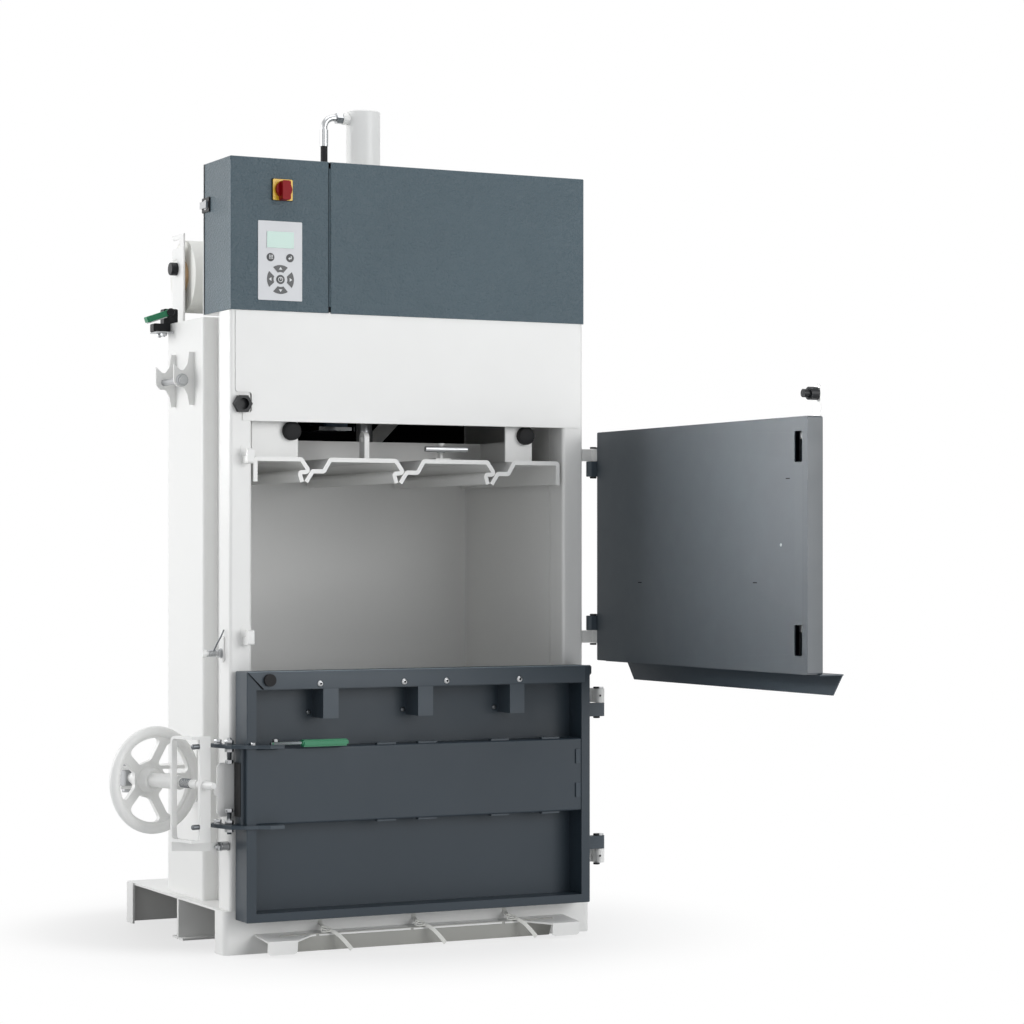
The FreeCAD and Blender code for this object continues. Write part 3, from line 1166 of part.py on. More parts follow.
def platen_beam():
    """Box beam across the platen, with the guide plates, eye lug and handle pin."""
    half = COLUMN_INNER - PLATEN_BEAM_GAP
    back = PLATEN_BEAM_FRONT + PLATEN_BEAM_DEPTH
    wall = PLATEN_BEAM_WALL
    outer = block(-half, half, PLATEN_BEAM_FRONT, back, PLATEN_TOP, BEAM_REST_Z)
    inner = block(-half - CUT, half + CUT, PLATEN_BEAM_FRONT + wall, back - wall, PLATEN_TOP + wall,
                  BEAM_REST_Z - wall)
    solids = [outer.cut(inner)]
    for x0, x1 in guide_spans():
        middle = (x0 + x1) / 2
        plate = block(x0, x1, GUIDE_DEPTH, GUIDE_DEPTH + GUIDE_SHEET, PLATEN_TOP, PLATEN_TOP + GUIDE_HEIGHT)
        rib = block(middle - GUIDE_SHEET / 2, middle + GUIDE_SHEET / 2, GUIDE_DEPTH + GUIDE_SHEET,
                    PLATEN_BEAM_FRONT, PLATEN_TOP, BEAM_REST_Z)
        solids.append(fuse([plate, rib]))
    lug_top = PLATEN_TOP + LUG_HEIGHT
    lug = block(LUG_X - LUG_THICK / 2, LUG_X + LUG_THICK / 2, GUIDE_DEPTH, GUIDE_DEPTH + LUG_DEPTH,
                PLATEN_TOP, lug_top)
    lug = rounded(lug, LUG_DEPTH / 2 - GAP, RIGHT, lambda m: m.z > lug_top - TOUCH)
    eye_depth = GUIDE_DEPTH + LUG_DEPTH / 2
    eye = rod(LUG_HOLE, at(LUG_X - LUG_THICK, eye_depth, lug_top - LUG_HOLE_DOWN),
              at(LUG_X + LUG_THICK, eye_depth, lug_top - LUG_HOLE_DOWN))
    solids.append(lug.cut(eye))
    wide, deep = T_FOOT_HALF
    pin_top = T_HANDLE_Z + T_EYE_HALF + 2 * T_HEAD
    foot = block(T_HANDLE_X - wide, T_HANDLE_X + wide, T_PIN_DEPTH - deep, T_PIN_DEPTH + deep,
                 PLATEN_TOP, PLATEN_TOP + T_FOOT)
    pin = rod(T_PIN, at(T_HANDLE_X, T_PIN_DEPTH, PLATEN_TOP), at(T_HANDLE_X, T_PIN_DEPTH, pin_top))
    head = rod(T_PIN + T_HEAD, at(T_HANDLE_X, T_PIN_DEPTH, pin_top - T_HEAD),
               at(T_HANDLE_X, T_PIN_DEPTH, pin_top))
    solids.append(fuse([foot, pin, head]))
    return Part.makeCompound(solids)


def t_handle():
    """T handle in front of the platen on a vertical pin."""
    half = T_HANDLE_LENGTH / 2
    bar = rod(T_HANDLE_RADIUS, at(T_HANDLE_X - half, T_HANDLE_DEPTH, T_HANDLE_Z),
              at(T_HANDLE_X + half, T_HANDLE_DEPTH, T_HANDLE_Z))
    stem = rod(T_PIN, at(T_HANDLE_X, T_HANDLE_DEPTH, T_HANDLE_Z),
               at(T_HANDLE_X, T_PIN_DEPTH - T_PIN - RUNNING_FIT, T_HANDLE_Z))
    eye = rod(T_PIN + T_EYE_WALL, at(T_HANDLE_X, T_PIN_DEPTH, T_HANDLE_Z - T_EYE_HALF),
              at(T_HANDLE_X, T_PIN_DEPTH, T_HANDLE_Z + T_EYE_HALF))
    bore = rod(T_PIN + RUNNING_FIT, at(T_HANDLE_X, T_PIN_DEPTH, T_HANDLE_Z - T_EYE_HALF - CUT),
               at(T_HANDLE_X, T_PIN_DEPTH, T_HANDLE_Z + T_EYE_HALF + CUT))
    return fuse([bar, stem, eye]).cut(bore)


def guide_buffers():
    """Round buffers on the guide plates."""
    front = GUIDE_DEPTH - BUFFER_LENGTH
    left_span, right_span = guide_spans()
    solids = []
    for x in (left_span[1] - LEFT_BUFFER_IN, right_span[1] - RIGHT_BUFFER_IN):
        disc = rod(BUFFER_RADIUS, at(x, front, BUFFER_Z), at(x, GUIDE_DEPTH, BUFFER_Z))
        edge = [e for e in disc.Edges if abs(e.CenterOfMass.y - FRONT_Y - front) < TOUCH]
        solids.append(disc.makeFillet(BUFFER_ROUND, edge))
    return Part.makeCompound(solids)


def piston_rod():
    """Piston and rod down to the platen beam."""
    piston = upright(CYLINDER_BORE - RUNNING_FIT, PISTON_REST_TOP - PISTON_THICK, PISTON_REST_TOP)
    return fuse([piston, upright(ROD_RADIUS, BEAM_REST_Z, PISTON_REST_TOP)])


# ---------------------------------------------------------------- upper door
def open_upper(shape):
    """Upper door's piece in its rest position."""
    return turned_about_hinge(shape, UPPER_OPEN_DEG)


def upper_door():
    """Hollow folded door with two latch slots in its inner sheet."""
    sheet = UPPER_SHEET
    pan = block(UPPER_LEFT, UPPER_RIGHT, UPPER_FRONT, UPPER_INNER, UPPER_Z0, UPPER_Z1)
    pan = rounded(pan, UPPER_ROUND, UP, ahead_of(UPPER_FRONT))
    pan = rounded(pan, UPPER_ROUND, RIGHT, ahead_of(UPPER_FRONT))
    hollow = block(UPPER_LEFT + sheet, UPPER_RIGHT - sheet, UPPER_FRONT + sheet, UPPER_INNER - sheet,
                   UPPER_Z0 + sheet, UPPER_Z1 - sheet)
    door = pan.cut(hollow)
    for bottom in SLOT_BOTTOMS:
        slot = block(SLOT_X - SLOT_WIDTH / 2, SLOT_X + SLOT_WIDTH / 2, UPPER_INNER - sheet - CUT,
                     UPPER_INNER + CUT, bottom, bottom + SLOT_HEIGHT)
        door = door.cut(rounded(slot, SLOT_ROUND, BACK))
    knuckles = [moving_knuckle(moving, seam, UPPER_RIGHT, HINGE_DEPTH + HINGE_KNUCKLE)
                for moving, seam, fixed in UPPER_HINGES]
    return open_upper(fuse([door] + knuckles))


def latch_bar():
    """Sliding bar inside the door whose windows hook behind the keepers."""
    half = LATCH_WIDTH / 2
    front = LATCH_BAR_BACK - LATCH_THICK
    bar = block(SLOT_X - half, SLOT_X + half, front, LATCH_BAR_BACK, UPPER_Z0 + LATCH_END,
                UPPER_Z1 - LATCH_END)
    for bottom in SLOT_BOTTOMS:
        window = block(SLOT_X - LATCH_WINDOW / 2, SLOT_X + LATCH_WINDOW / 2, front - CUT,
                       LATCH_BAR_BACK + CUT, bottom - LATCH_WINDOW_LOW, bottom + SLOT_HEIGHT - LATCH_CATCH)
        bar = bar.cut(window)
    return open_upper(bar)


def grip_strip():
    """Folded strip along the bottom edge, its hanging lip cut back at both ends."""
    lip = UPPER_FRONT - GRIP_OVER - GRIP_SHEET
    x0 = UPPER_LEFT - GRIP_LEFT
    x1 = UPPER_RIGHT + GRIP_RIGHT
    bottom = UPPER_Z0 - GRIP_LIP
    flange = block(x0, x1, lip, UPPER_FRONT + GRIP_LAP, UPPER_Z0 - GRIP_SHEET, UPPER_Z0)
    corners = [at(x0, lip, UPPER_Z0), at(x1, lip, UPPER_Z0), at(x1 - GRIP_END_CUT, lip, bottom),
               at(x0 + GRIP_END_CUT, lip, bottom)]
    return open_upper(fuse([flange, slab(corners, BACK * GRIP_SHEET)]))


def sensor_bracket():
    """Flat strip on the outer face that reaches above the door."""
    half = SENSOR_BRACKET_WIDTH / 2
    strip = block(SOCKET_X - half, SOCKET_X + half, UPPER_FRONT - SENSOR_BRACKET_SHEET, UPPER_FRONT,
                  UPPER_Z1 - SENSOR_BRACKET_BELOW, UPPER_Z1 + SENSOR_BRACKET_ABOVE)
    return open_upper(rounded(strip, SENSOR_BRACKET_ROUND, BACK))


def door_sensor():
    """Sensor on the strip: round body with a nose."""
    shoulder = UPPER_FRONT + SENSOR_BODY_LENGTH
    body = rod(SENSOR_BODY, at(SOCKET_X, UPPER_FRONT, SOCKET_Z), at(SOCKET_X, shoulder, SOCKET_Z))
    nose = rod(SENSOR_NOSE, at(SOCKET_X, shoulder, SOCKET_Z),
               at(SOCKET_X, shoulder + SENSOR_NOSE_LENGTH, SOCKET_Z))
    return open_upper(fuse([body, nose]))


# ---------------------------------------------------------------- lower door
def lower_door():
    """Framed door with a folded stiffener across its middle."""
    left = LOWER_LEFT + LOWER_STILE
    right = LOWER_RIGHT - LOWER_STILE
    front = -LOWER_FRONT + STIFFENER_BACK
    frame = block(LOWER_LEFT, LOWER_RIGHT, -LOWER_FRONT, -LOWER_BACK_GAP, LOWER_Z0, LOWER_Z1)
    frame = rounded(frame, LOWER_ROUND, BACK)
    frame = rounded(frame, LOWER_EDGE, UP, ahead_of(-LOWER_FRONT))
    pocket = block(left, right, -LOWER_FRONT - CUT, LOWER_FACE, LOWER_Z0 + LOWER_BOTTOM_RAIL,
                   LOWER_Z1 - LOWER_TOP_RAIL)
    frame = frame.cut(pocket)
    stiffener = block(left, right, front, LOWER_FACE, STIFFENER_Z0, STIFFENER_Z1)
    stiffener = rounded(stiffener, STIFFENER_ROUND, RIGHT, ahead_of(front))
    hollow = block(left, right, front + LOWER_SHEET, LOWER_FACE, STIFFENER_Z0 + LOWER_SHEET,
                   STIFFENER_Z1 - LOWER_SHEET)
    stiffener = stiffener.cut(hollow)
    length, height = STIFFENER_SLOT
    slot_front = front + STIFFENER_SLOT_BACK
    for index in range(STIFFENER_SLOTS):
        x = (index - (STIFFENER_SLOTS - 1) / 2) * STIFFENER_PITCH
        for z in (STIFFENER_Z0, STIFFENER_Z1):
            stiffener = stiffener.cut(block(x - length / 2, x + length / 2, slot_front, slot_front + height,
                                            z - LOWER_SHEET - CUT, z + LOWER_SHEET + CUT))
    knuckles = [moving_knuckle(moving, seam, LOWER_RIGHT, HINGE_DEPTH + HINGE_KNUCKLE - LOWER_KNUCKLE_TRIM)
                for moving, seam, fixed in LOWER_HINGES]
    return fuse([frame, stiffener] + knuckles)


def strap_brackets():
    """Angle brackets under the top rail that the straps are led round."""
    top = LOWER_Z1 - LOWER_TOP_RAIL
    low = top - STRAP_BRACKET_HEIGHT
    half = STRAP_BRACKET_WIDTH / 2
    sheet = STRAP_BRACKET_SHEET
    solids = []
    for index in (-1, 0, 1):
        x = index * BRACKET_PITCH
        front = block(x - half, x + half, -LOWER_FRONT, -LOWER_FRONT + sheet, low, top)
        side = block(x - half, x - half + sheet, -LOWER_FRONT, LOWER_FACE, low, top)
        solids.append(fuse([front, side]))
    return Part.makeCompound(solids)


def bumper():
    """Round rubber stop for the lip of the upper door."""
    x = LOWER_LEFT + BUMPER_SIDE
    z = LOWER_Z1 - BUMPER_DOWN
    return rod(BUMPER_RADIUS, at(x, -LOWER_FRONT, z), at(x, -LOWER_FRONT - BUMPER_LENGTH, z))


def hook_arms():
    """Two hooked plates round the free edge of the lower door, with their spine and bolts."""
    front = -LOWER_FRONT
    spine_out, spine_front = ARM_SPINE
    outline = [(ARM_END_X, front), (ARM_END_X, front - ARM_PAD),
               (ARM_END_X - ARM_PAD_LENGTH, front - ARM_PAD)]
    outline += [(LOWER_LEFT + across, front + back) for across, back in ARM_SWEEP]
    outline += [(ARM_TIP_X, ARM_TIP_FRONT), (ARM_TIP_X, ARM_TIP_FRONT + ARM_TIP_WIDTH)]
    outline += [(LOWER_LEFT + across, front + back) for across, back in ARM_INSIDE]
    pieces = [block(LOWER_LEFT - spine_out, LOWER_LEFT, front + spine_front, ARM_BOLT_DEPTH,
                    LOWER_ARM_Z - ARM_THICK / 2, UPPER_ARM_Z + ARM_THICK / 2)]
    bolt_x = LOWER_LEFT - ARM_BOLT_OUT
    for z in (LOWER_ARM_Z, UPPER_ARM_Z):
        corners = [at(x, depth, z - ARM_THICK / 2) for x, depth in outline]
        pieces.append(slab(corners, UP * ARM_THICK))
        pieces.append(rod(ARM_BOLT, at(bolt_x, ARM_BOLT_DEPTH, z - 2 * ARM_BOLT_NUT),
                          at(bolt_x, ARM_BOLT_DEPTH, z + 2 * ARM_BOLT_NUT)))
        pieces.append(rod(ARM_BOLT_HEAD, at(bolt_x, ARM_BOLT_DEPTH, z - ARM_BOLT_NUT),
                          at(bolt_x, ARM_BOLT_DEPTH, z + ARM_BOLT_NUT)))
    pieces.append(rod(LEVER_PIN, at(LEVER_X, LEVER_DEPTH, UPPER_ARM_Z),
                      at(LEVER_X, LEVER_DEPTH, UPPER_ARM_Z + LEVER_PIN_UP)))
    return fuse(pieces)


def lock_lever():
    """Flat lever with a sleeve grip, pivoted on the upper arm."""
    low = UPPER_ARM_Z + ARM_THICK / 2 + GAP
    high = low + LEVER_THICK
    end = LEVER_X + LEVER_LENGTH
    plate = block(LEVER_X - LEVER_TAIL, end, LEVER_DEPTH - LEVER_HALF, LEVER_DEPTH + LEVER_HALF, low, high)
    plate = rounded(plate, LEVER_HALF - GAP, UP)
    grip = block(end - LEVER_GRIP, end, LEVER_DEPTH - LEVER_GRIP_HALF, LEVER_DEPTH + LEVER_GRIP_HALF,
                 low - LEVER_GRIP_OVER, high + LEVER_GRIP_OVER)
    grip = rounded(grip, LEVER_GRIP_OVER, RIGHT)
    return fuse([plate, grip]).cut(rod(LEVER_PIN + RUNNING_FIT, at(LEVER_X, LEVER_DEPTH, low - CUT),
                                       at(LEVER_X, LEVER_DEPTH, high + CUT)))


# ---------------------------------------------------------------- lock with handwheel
def lock(across, up, ahead):
    """Point of the lock from the rim centre: across, up and ahead along the spindle."""
    return at(WHEEL_X, WHEEL_DEPTH, LOCK_Z + up) + ACROSS * across + AHEAD * ahead


def lock_block(across0, across1, up0, up1, ahead0, ahead1):
    """Box in the directions of the lock."""
    corners = [lock(a, up0, s) for a, s in ((across0, ahead0), (across1, ahead0), (across1, ahead1),
                                            (across0, ahead1))]
    return slab(corners, UP * (up1 - up0))


def wheel_window():
    """Cutter of one window of the wheel: a ring sector between two spokes, its corners rounded."""
    turn = math.radians(360 / WHEEL_SPOKES)
    span = 2 * WHEEL_RADIUS
    apex = SPOKE_HALF / math.sin(turn / 2)
    rear = -HUB_DISH - HUB_THICK
    corners = [lock(apex * math.cos(turn / 2), apex * math.sin(turn / 2), rear)]
    corners += [corners[0] + ACROSS * (span * math.cos(angle)) + UP * (span * math.sin(angle))
                for angle in (0, turn)]
    sector = slab(corners, AHEAD * (HUB_DISH + 2 * HUB_THICK))
    ring = rod(WINDOW_OUTER, lock(0, 0, rear), lock(0, 0, HUB_THICK))
    ring = ring.cut(rod(WINDOW_INNER, lock(0, 0, rear - CUT), lock(0, 0, HUB_THICK + CUT)))
    return rounded(ring.common(sector), WINDOW_ROUND, AHEAD)


def handwheel():
    """Cast handwheel: rim, dished web with five windows, hub and the threaded tube it drives."""
    rim = Part.makeTorus(WHEEL_RADIUS - RIM_RADIUS, RIM_RADIUS, lock(0, 0, 0), AHEAD)
    half = WEB_THICK / 2
    section = [lock(0, 0, -HUB_DISH - half), lock(0, 0, -HUB_DISH + half),
               lock(HUB_RADIUS, 0, -HUB_DISH + half),
               lock(WHEEL_RADIUS - RIM_RADIUS, 0, half), lock(WHEEL_RADIUS - RIM_RADIUS, 0, -half),
               lock(HUB_RADIUS, 0, -HUB_DISH - half)]
    web = Part.Face(Part.makePolygon(section + [section[0]])).revolve(lock(0, 0, 0), AHEAD, 360)
    for index in range(WHEEL_SPOKES):
        window = wheel_window()
        window.rotate(lock(0, 0, 0), AHEAD, index * 360 / WHEEL_SPOKES)
        web = web.cut(window)
    hub = Part.makeCone(HUB_RADIUS, HUB_TUBE_RADIUS + HUB_DRAFT, HUB_THICK, lock(0, 0, -HUB_DISH), AHEAD)
    tube = rod(HUB_TUBE_RADIUS, lock(0, 0, HUB_REAR_END), lock(0, 0, HUB_TUBE_END))
    journal = rod(JOURNAL, lock(0, 0, PIVOT_AT + PIVOT_BLOCK / 2 - JOURNAL_DEPTH),
                  lock(0, 0, HUB_REAR_END + CUT))
    wheel = fuse([rim, web, hub, tube, journal])
    return wheel.cut(rod(SPINDLE_RADIUS + RUNNING_FIT, lock(0, 0, SPINDLE_TAIL - SPINDLE_RUN),
                         lock(0, 0, HUB_TUBE_END + CUT)))


def lock_yoke():
    """Spindle with its cross bar, the tapered nose and the bent strap frame behind it."""
    low = YOKE_Z0 - LOCK_Z
    high = YOKE_Z1 - LOCK_Z
    half = YOKE_BAR_WIDTH / 2
    face0 = YOKE_BAR_AT - YOKE_BAR_THICK / 2
    face1 = YOKE_BAR_AT + YOKE_BAR_THICK / 2
    spindle = rod(SPINDLE_RADIUS, lock(0, 0, SPINDLE_TAIL), lock(0, 0, YOKE_NOSE_START + YOKE_NOSE_NECK))
    bar = lock_block(-half, half, low, high, face0, face1)
    rear_nose = Part.makeCone(YOKE_NOSE_NECK, YOKE_NOSE_RADIUS, YOKE_BAR_AT - YOKE_NOSE_START,
                              lock(0, 0, YOKE_NOSE_START), AHEAD)
    front_nose = Part.makeCone(YOKE_NOSE_RADIUS, YOKE_NOSE_NECK, YOKE_NOSE_END - YOKE_BAR_AT,
                               lock(0, 0, YOKE_BAR_AT), AHEAD)
    side0 = YOKE_STRAP_SIDE - YOKE_STRAP_WIDTH / 2
    middle = YOKE_STRAP_SHEET / 2
    path = [(face1, low + middle), (YOKE_STRAP_AT, low + middle), (YOKE_STRAP_AT, high - middle),
            (face1, high - middle)]
    strap = bent_sheet(path, YOKE_STRAP_SHEET, YOKE_STRAP_BEND, lambda a, b: lock(side0, b, a),
                       ACROSS * YOKE_STRAP_WIDTH)
    lugs = [lock_block(side0, half, bottom, bottom + YOKE_STRAP_SHEET, face0, face1)
            for bottom in (low, high - YOKE_STRAP_SHEET)]
    pegs = [rod(YOKE_PEG, lock(-half - YOKE_PEG_LENGTH, z - LOCK_Z, YOKE_BAR_AT),
                lock(-half + CUT, z - LOCK_Z, YOKE_BAR_AT)) for z in (LOWER_ARM_Z, UPPER_ARM_Z)]
    return fuse([spindle, bar, rear_nose, front_nose, strap] + lugs + pegs)


def pivot_block():
    """Block that carries the handwheel and turns on a vertical pin."""
    half = PIVOT_BLOCK / 2
    tall = PIVOT_HEIGHT / 2
    body = lock_block(-half, half, -tall, tall, PIVOT_AT - half, PIVOT_AT + half)
    body = rounded(body, PIVOT_ROUND, UP)
    pin_hole = rod(PIVOT_PIN + RUNNING_FIT, lock(0, -half, PIVOT_AT), lock(0, half, PIVOT_AT))
    socket = rod(JOURNAL + RUNNING_FIT, lock(0, 0, PIVOT_AT + half - JOURNAL_DEPTH - CUT),
                 lock(0, 0, PIVOT_AT + half + CUT))
    return body.cut(pin_hole).cut(socket)


def lock_bracket():
    """Fork bracket on the side box with the vertical pin."""
    centre = lock(0, 0, PIVOT_AT)
    depth = centre.y - FRONT_Y
    wall = -SIDE_BOX_OUT
    wide, tall = FORK_BASE
    fork_under = PIVOT_HEIGHT / 2 + FORK_GAP
    pieces = [block(wall - FORK_PLATE, wall, depth - wide, depth + wide, LOCK_Z - tall, LOCK_Z + tall)]
    for low in (LOCK_Z - fork_under - FORK_PLATE, LOCK_Z + fork_under):
        corners = [at(wall - FORK_PLATE, depth - FORK_FOOT_HALF, low),
                   at(wall - FORK_PLATE, depth + FORK_FOOT_HALF, low),
                   at(centre.x - FORK_HALF, depth + FORK_HALF, low),
                   at(centre.x - FORK_HALF, depth - FORK_HALF, low)]
        pieces.append(slab(corners, UP * FORK_PLATE))
    reach = fork_under + FORK_PLATE + FORK_GAP
    pieces.append(rod(PIVOT_PIN, lock(0, -reach, PIVOT_AT), lock(0, reach, PIVOT_AT)))
    return fuse(pieces)


def lock_guide_plate():
    """Plate on the left column behind the cross bar, and the strip under the swinging yoke."""
    x0 = -CABINET_HALF - GUIDE_PLATE_OUT
    x1 = -CABINET_HALF + GUIDE_PLATE_IN
    cut = GUIDE_PLATE_CUT
    out, flat, slope = GUIDE_PLATE_TAB
    middle = LOWER_ARM_Z + GUIDE_PLATE_OVER + GUIDE_PLATE_HALF
    z0 = middle - GUIDE_PLATE_HALF
    z1 = middle + GUIDE_PLATE_HALF
    corners = [(x1, z0), (x1, z1), (x0 + cut, z1), (x0, z1 - cut),
               (x0, middle + slope), (x0 - out, middle + flat),
               (x0 - out, middle - flat), (x0, middle - slope), (x0, z0 + cut), (x0 + cut, z0)]
    plate = slab([at(x, 0, z) for x, z in corners], BACK * COLUMN_FRONT)
    low = YOKE_Z0 - REST_STRIP_GAP - REST_STRIP_TALL
    path = [(-CABINET_HALF - across, depth) for across, depth in REST_STRIP_PATH]
    strip = bent_sheet(path, REST_STRIP_SHEET, REST_STRIP_SHEET, lambda a, b: at(a, b, low),
                       UP * REST_STRIP_TALL)
    return Part.makeCompound([plate, strip])


# ---------------------------------------------------------------- strap rolls and side fittings
def roll_brackets():
    """Side plates with a hooked top and an open notch that the roll shaft lies in."""
    solids = []
    slot_top = ROLL_SHAFT_Z + ROLL_NOTCH_OVER
    hook_top = ROLL_BRACKET_TOP - ROLL_HOOK
    for hand in (-1, 1):
        x0 = hand * (ROLL_BRACKET_X - ROLL_BRACKET_SHEET)
        x1 = hand * ROLL_BRACKET_X
        over = x1 + hand * CUT
        under = x0 - hand * CUT
        plate = block(x0, x1, ROLL_BRACKET_FRONT, ROLL_BRACKET_BACK, HEAD_Z, ROLL_BRACKET_TOP)
        hole = rod(ROLL_SHAFT_RADIUS, at(under, ROLL_SHAFT_DEPTH, ROLL_SHAFT_Z),
                   at(over, ROLL_SHAFT_DEPTH, ROLL_SHAFT_Z))
        notch = block(under, over, ROLL_SHAFT_DEPTH, ROLL_BRACKET_BACK + CUT,
                      ROLL_SHAFT_Z - ROLL_SHAFT_RADIUS, slot_top)
        recess = block(under, over, ROLL_BRACKET_FRONT + ROLL_STEM, ROLL_BRACKET_BACK + CUT,
                       hook_top - ROLL_RECESS, hook_top)
        plate = plate.cut(hole).cut(notch).cut(recess)
        solids.append(rounded(plate, ROLL_CORNER, RIGHT,
                              lambda m: m.z > ROLL_SHAFT_Z + ROLL_SHAFT_RADIUS
                              and m.y > FRONT_Y + ROLL_SHAFT_DEPTH + TOUCH))
    return Part.makeCompound(solids)


def roll_shaft():
    """Shaft with end caps across the brackets."""
    half = ROLL_BRACKET_X + ROLL_SHAFT_END
    shaft = rod(ROLL_SHAFT_RADIUS, at(-half, ROLL_SHAFT_DEPTH, ROLL_SHAFT_Z),
                at(half, ROLL_SHAFT_DEPTH, ROLL_SHAFT_Z))
    caps = [rod(ROLL_SHAFT_RADIUS + ROLL_CAP,
                at(hand * (ROLL_BRACKET_X + GAP), ROLL_SHAFT_DEPTH, ROLL_SHAFT_Z),
                at(hand * (half + ROLL_CAP), ROLL_SHAFT_DEPTH, ROLL_SHAFT_Z)) for hand in (-1, 1)]
    return fuse([shaft] + caps)


def strap_roll(index):
    """Roll of strap hanging on the shaft."""
    z = ROLL_SHAFT_Z - (ROLL_BORE - ROLL_SHAFT_RADIUS - GAP)
    x0 = index * ROLL_PITCH - ROLL_WIDTH / 2
    x1 = index * ROLL_PITCH + ROLL_WIDTH / 2
    roll = rod(ROLL_RADIUS, at(x0, ROLL_SHAFT_DEPTH, z), at(x1, ROLL_SHAFT_DEPTH, z))
    core = rod(ROLL_CORE, at(x0 - ROLL_CORE_END, ROLL_SHAFT_DEPTH, z),
               at(x1 + ROLL_CORE_END, ROLL_SHAFT_DEPTH, z))
    bore = rod(ROLL_BORE, at(x0 - 2 * ROLL_CORE_END, ROLL_SHAFT_DEPTH, z),
               at(x1 + 2 * ROLL_CORE_END, ROLL_SHAFT_DEPTH, z))
    return fuse([roll, core]).cut(bore)


def rest_brackets():
    """Notched hook plates on the left side with a bar between them."""
    wall = -SIDE_BOX_OUT
    depths = [SIDE_BOX_FRONT + REST_FIRST, SIDE_BOX_FRONT + REST_FIRST + REST_PITCH]
    bar_x = wall - REST_BAR_OUT
    bar_z = REST_Z0 + REST_BAR_UP
    pieces = []
    for depth in depths:
        plate = slab([at(wall - out, depth, REST_Z0 + REST_HEIGHT * share) for out, share in REST_OUTLINE],
                     BACK * REST_SHEET)
        pieces.append(rounded(plate, REST_ROUND, BACK,
                              lambda m: REST_ROUND < wall - m.x < REST_OUT - REST_ROUND
                              and abs(m.z - (REST_Z0 + REST_Z1) / 2) < REST_HEIGHT * REST_CURVED))
    pieces.append(rod(REST_BAR, at(bar_x, depths[0] - REST_BAR_END, bar_z),
                      at(bar_x, depths[1] + REST_SHEET + REST_BAR_END, bar_z)))
    return fuse(pieces)


def tensioner_body():
    """Housing of the strap tensioner: block on the side box, head over its edge, lever pin."""
    wall = -SIDE_BOX_OUT
    pivot = wall - TENSIONER_PIVOT_OUT
    body = block(wall - TENSIONER_OUT, wall, TENSIONER_FRONT, SIDE_BOX_BACK, TENSIONER_LOW, HEAD_Z)
    body = rounded(body, TENSIONER_ROUND, BACK, lambda m: m.x < wall - TENSIONER_ROUND)
    head = block(pivot - TENSIONER_EYE, wall + TENSIONER_LAP, TENSIONER_FRONT, SIDE_BOX_BACK, HEAD_Z,
                 TENSIONER_PIVOT_Z + TENSIONER_EYE)
    head = rounded(head, TENSIONER_ROUND, BACK, lambda m: m.z > HEAD_Z + TENSIONER_ROUND)
    pin = rod(TENSIONER_PIN, at(pivot, TENSIONER_FRONT + CUT, TENSIONER_PIVOT_Z),
              at(pivot, TENSIONER_FRONT - TENSIONER_WIDTH - 2 * GAP, TENSIONER_PIVOT_Z))
    return fuse([body, head, pin])


def tensioner_lever():
    """Lever of the tensioner, sloping outwards from its pin."""
    pivot = at(-SIDE_BOX_OUT - TENSIONER_PIVOT_OUT, TENSIONER_FRONT - GAP, TENSIONER_PIVOT_Z)
    half = TENSIONER_LEVER_THICK / 2
    eye = rod(TENSIONER_EYE - TENSIONER_EYE_TRIM, pivot, pivot - BACK * TENSIONER_WIDTH)
    end = pivot - RIGHT * TENSIONER_LEVER
    arm = slab([pivot - UP * half, pivot + UP * half, end + UP * half, end - UP * half],
               BACK * -TENSIONER_WIDTH)
    arm = rounded(arm, TENSIONER_EYE_TRIM, BACK, lambda m: m.x < pivot.x - TENSIONER_EYE)
    arm.rotate(pivot, BACK, -TENSIONER_SLOPE_DEG)
    bore = rod(TENSIONER_PIN + RUNNING_FIT, pivot + BACK * CUT, pivot - BACK * (TENSIONER_WIDTH + CUT))
    return fuse([eye, arm]).cut(bore)


def spring_catch():
    """Small fixed hook on the left column's side."""
    wall = -CABINET_HALF
    face = wall - CATCH_SHEET
    plate = block(face, wall, CATCH_DEPTH - CATCH_HALF, CATCH_DEPTH + CATCH_HALF, CATCH_Z - CATCH_BELOW,
                  CATCH_Z + CATCH_ABOVE)
    plate = rounded(plate, CATCH_ROUND, RIGHT)
    stud = rod(CATCH_STUD, at(face, CATCH_DEPTH, CATCH_Z), at(face - CATCH_LENGTH, CATCH_DEPTH, CATCH_Z))
    cap = rod(CATCH_CAP, at(face - CATCH_LENGTH + CATCH_CAP, CATCH_DEPTH, CATCH_Z),
              at(face - CATCH_LENGTH, CATCH_DEPTH, CATCH_Z))
    return fuse([plate, stud, cap])


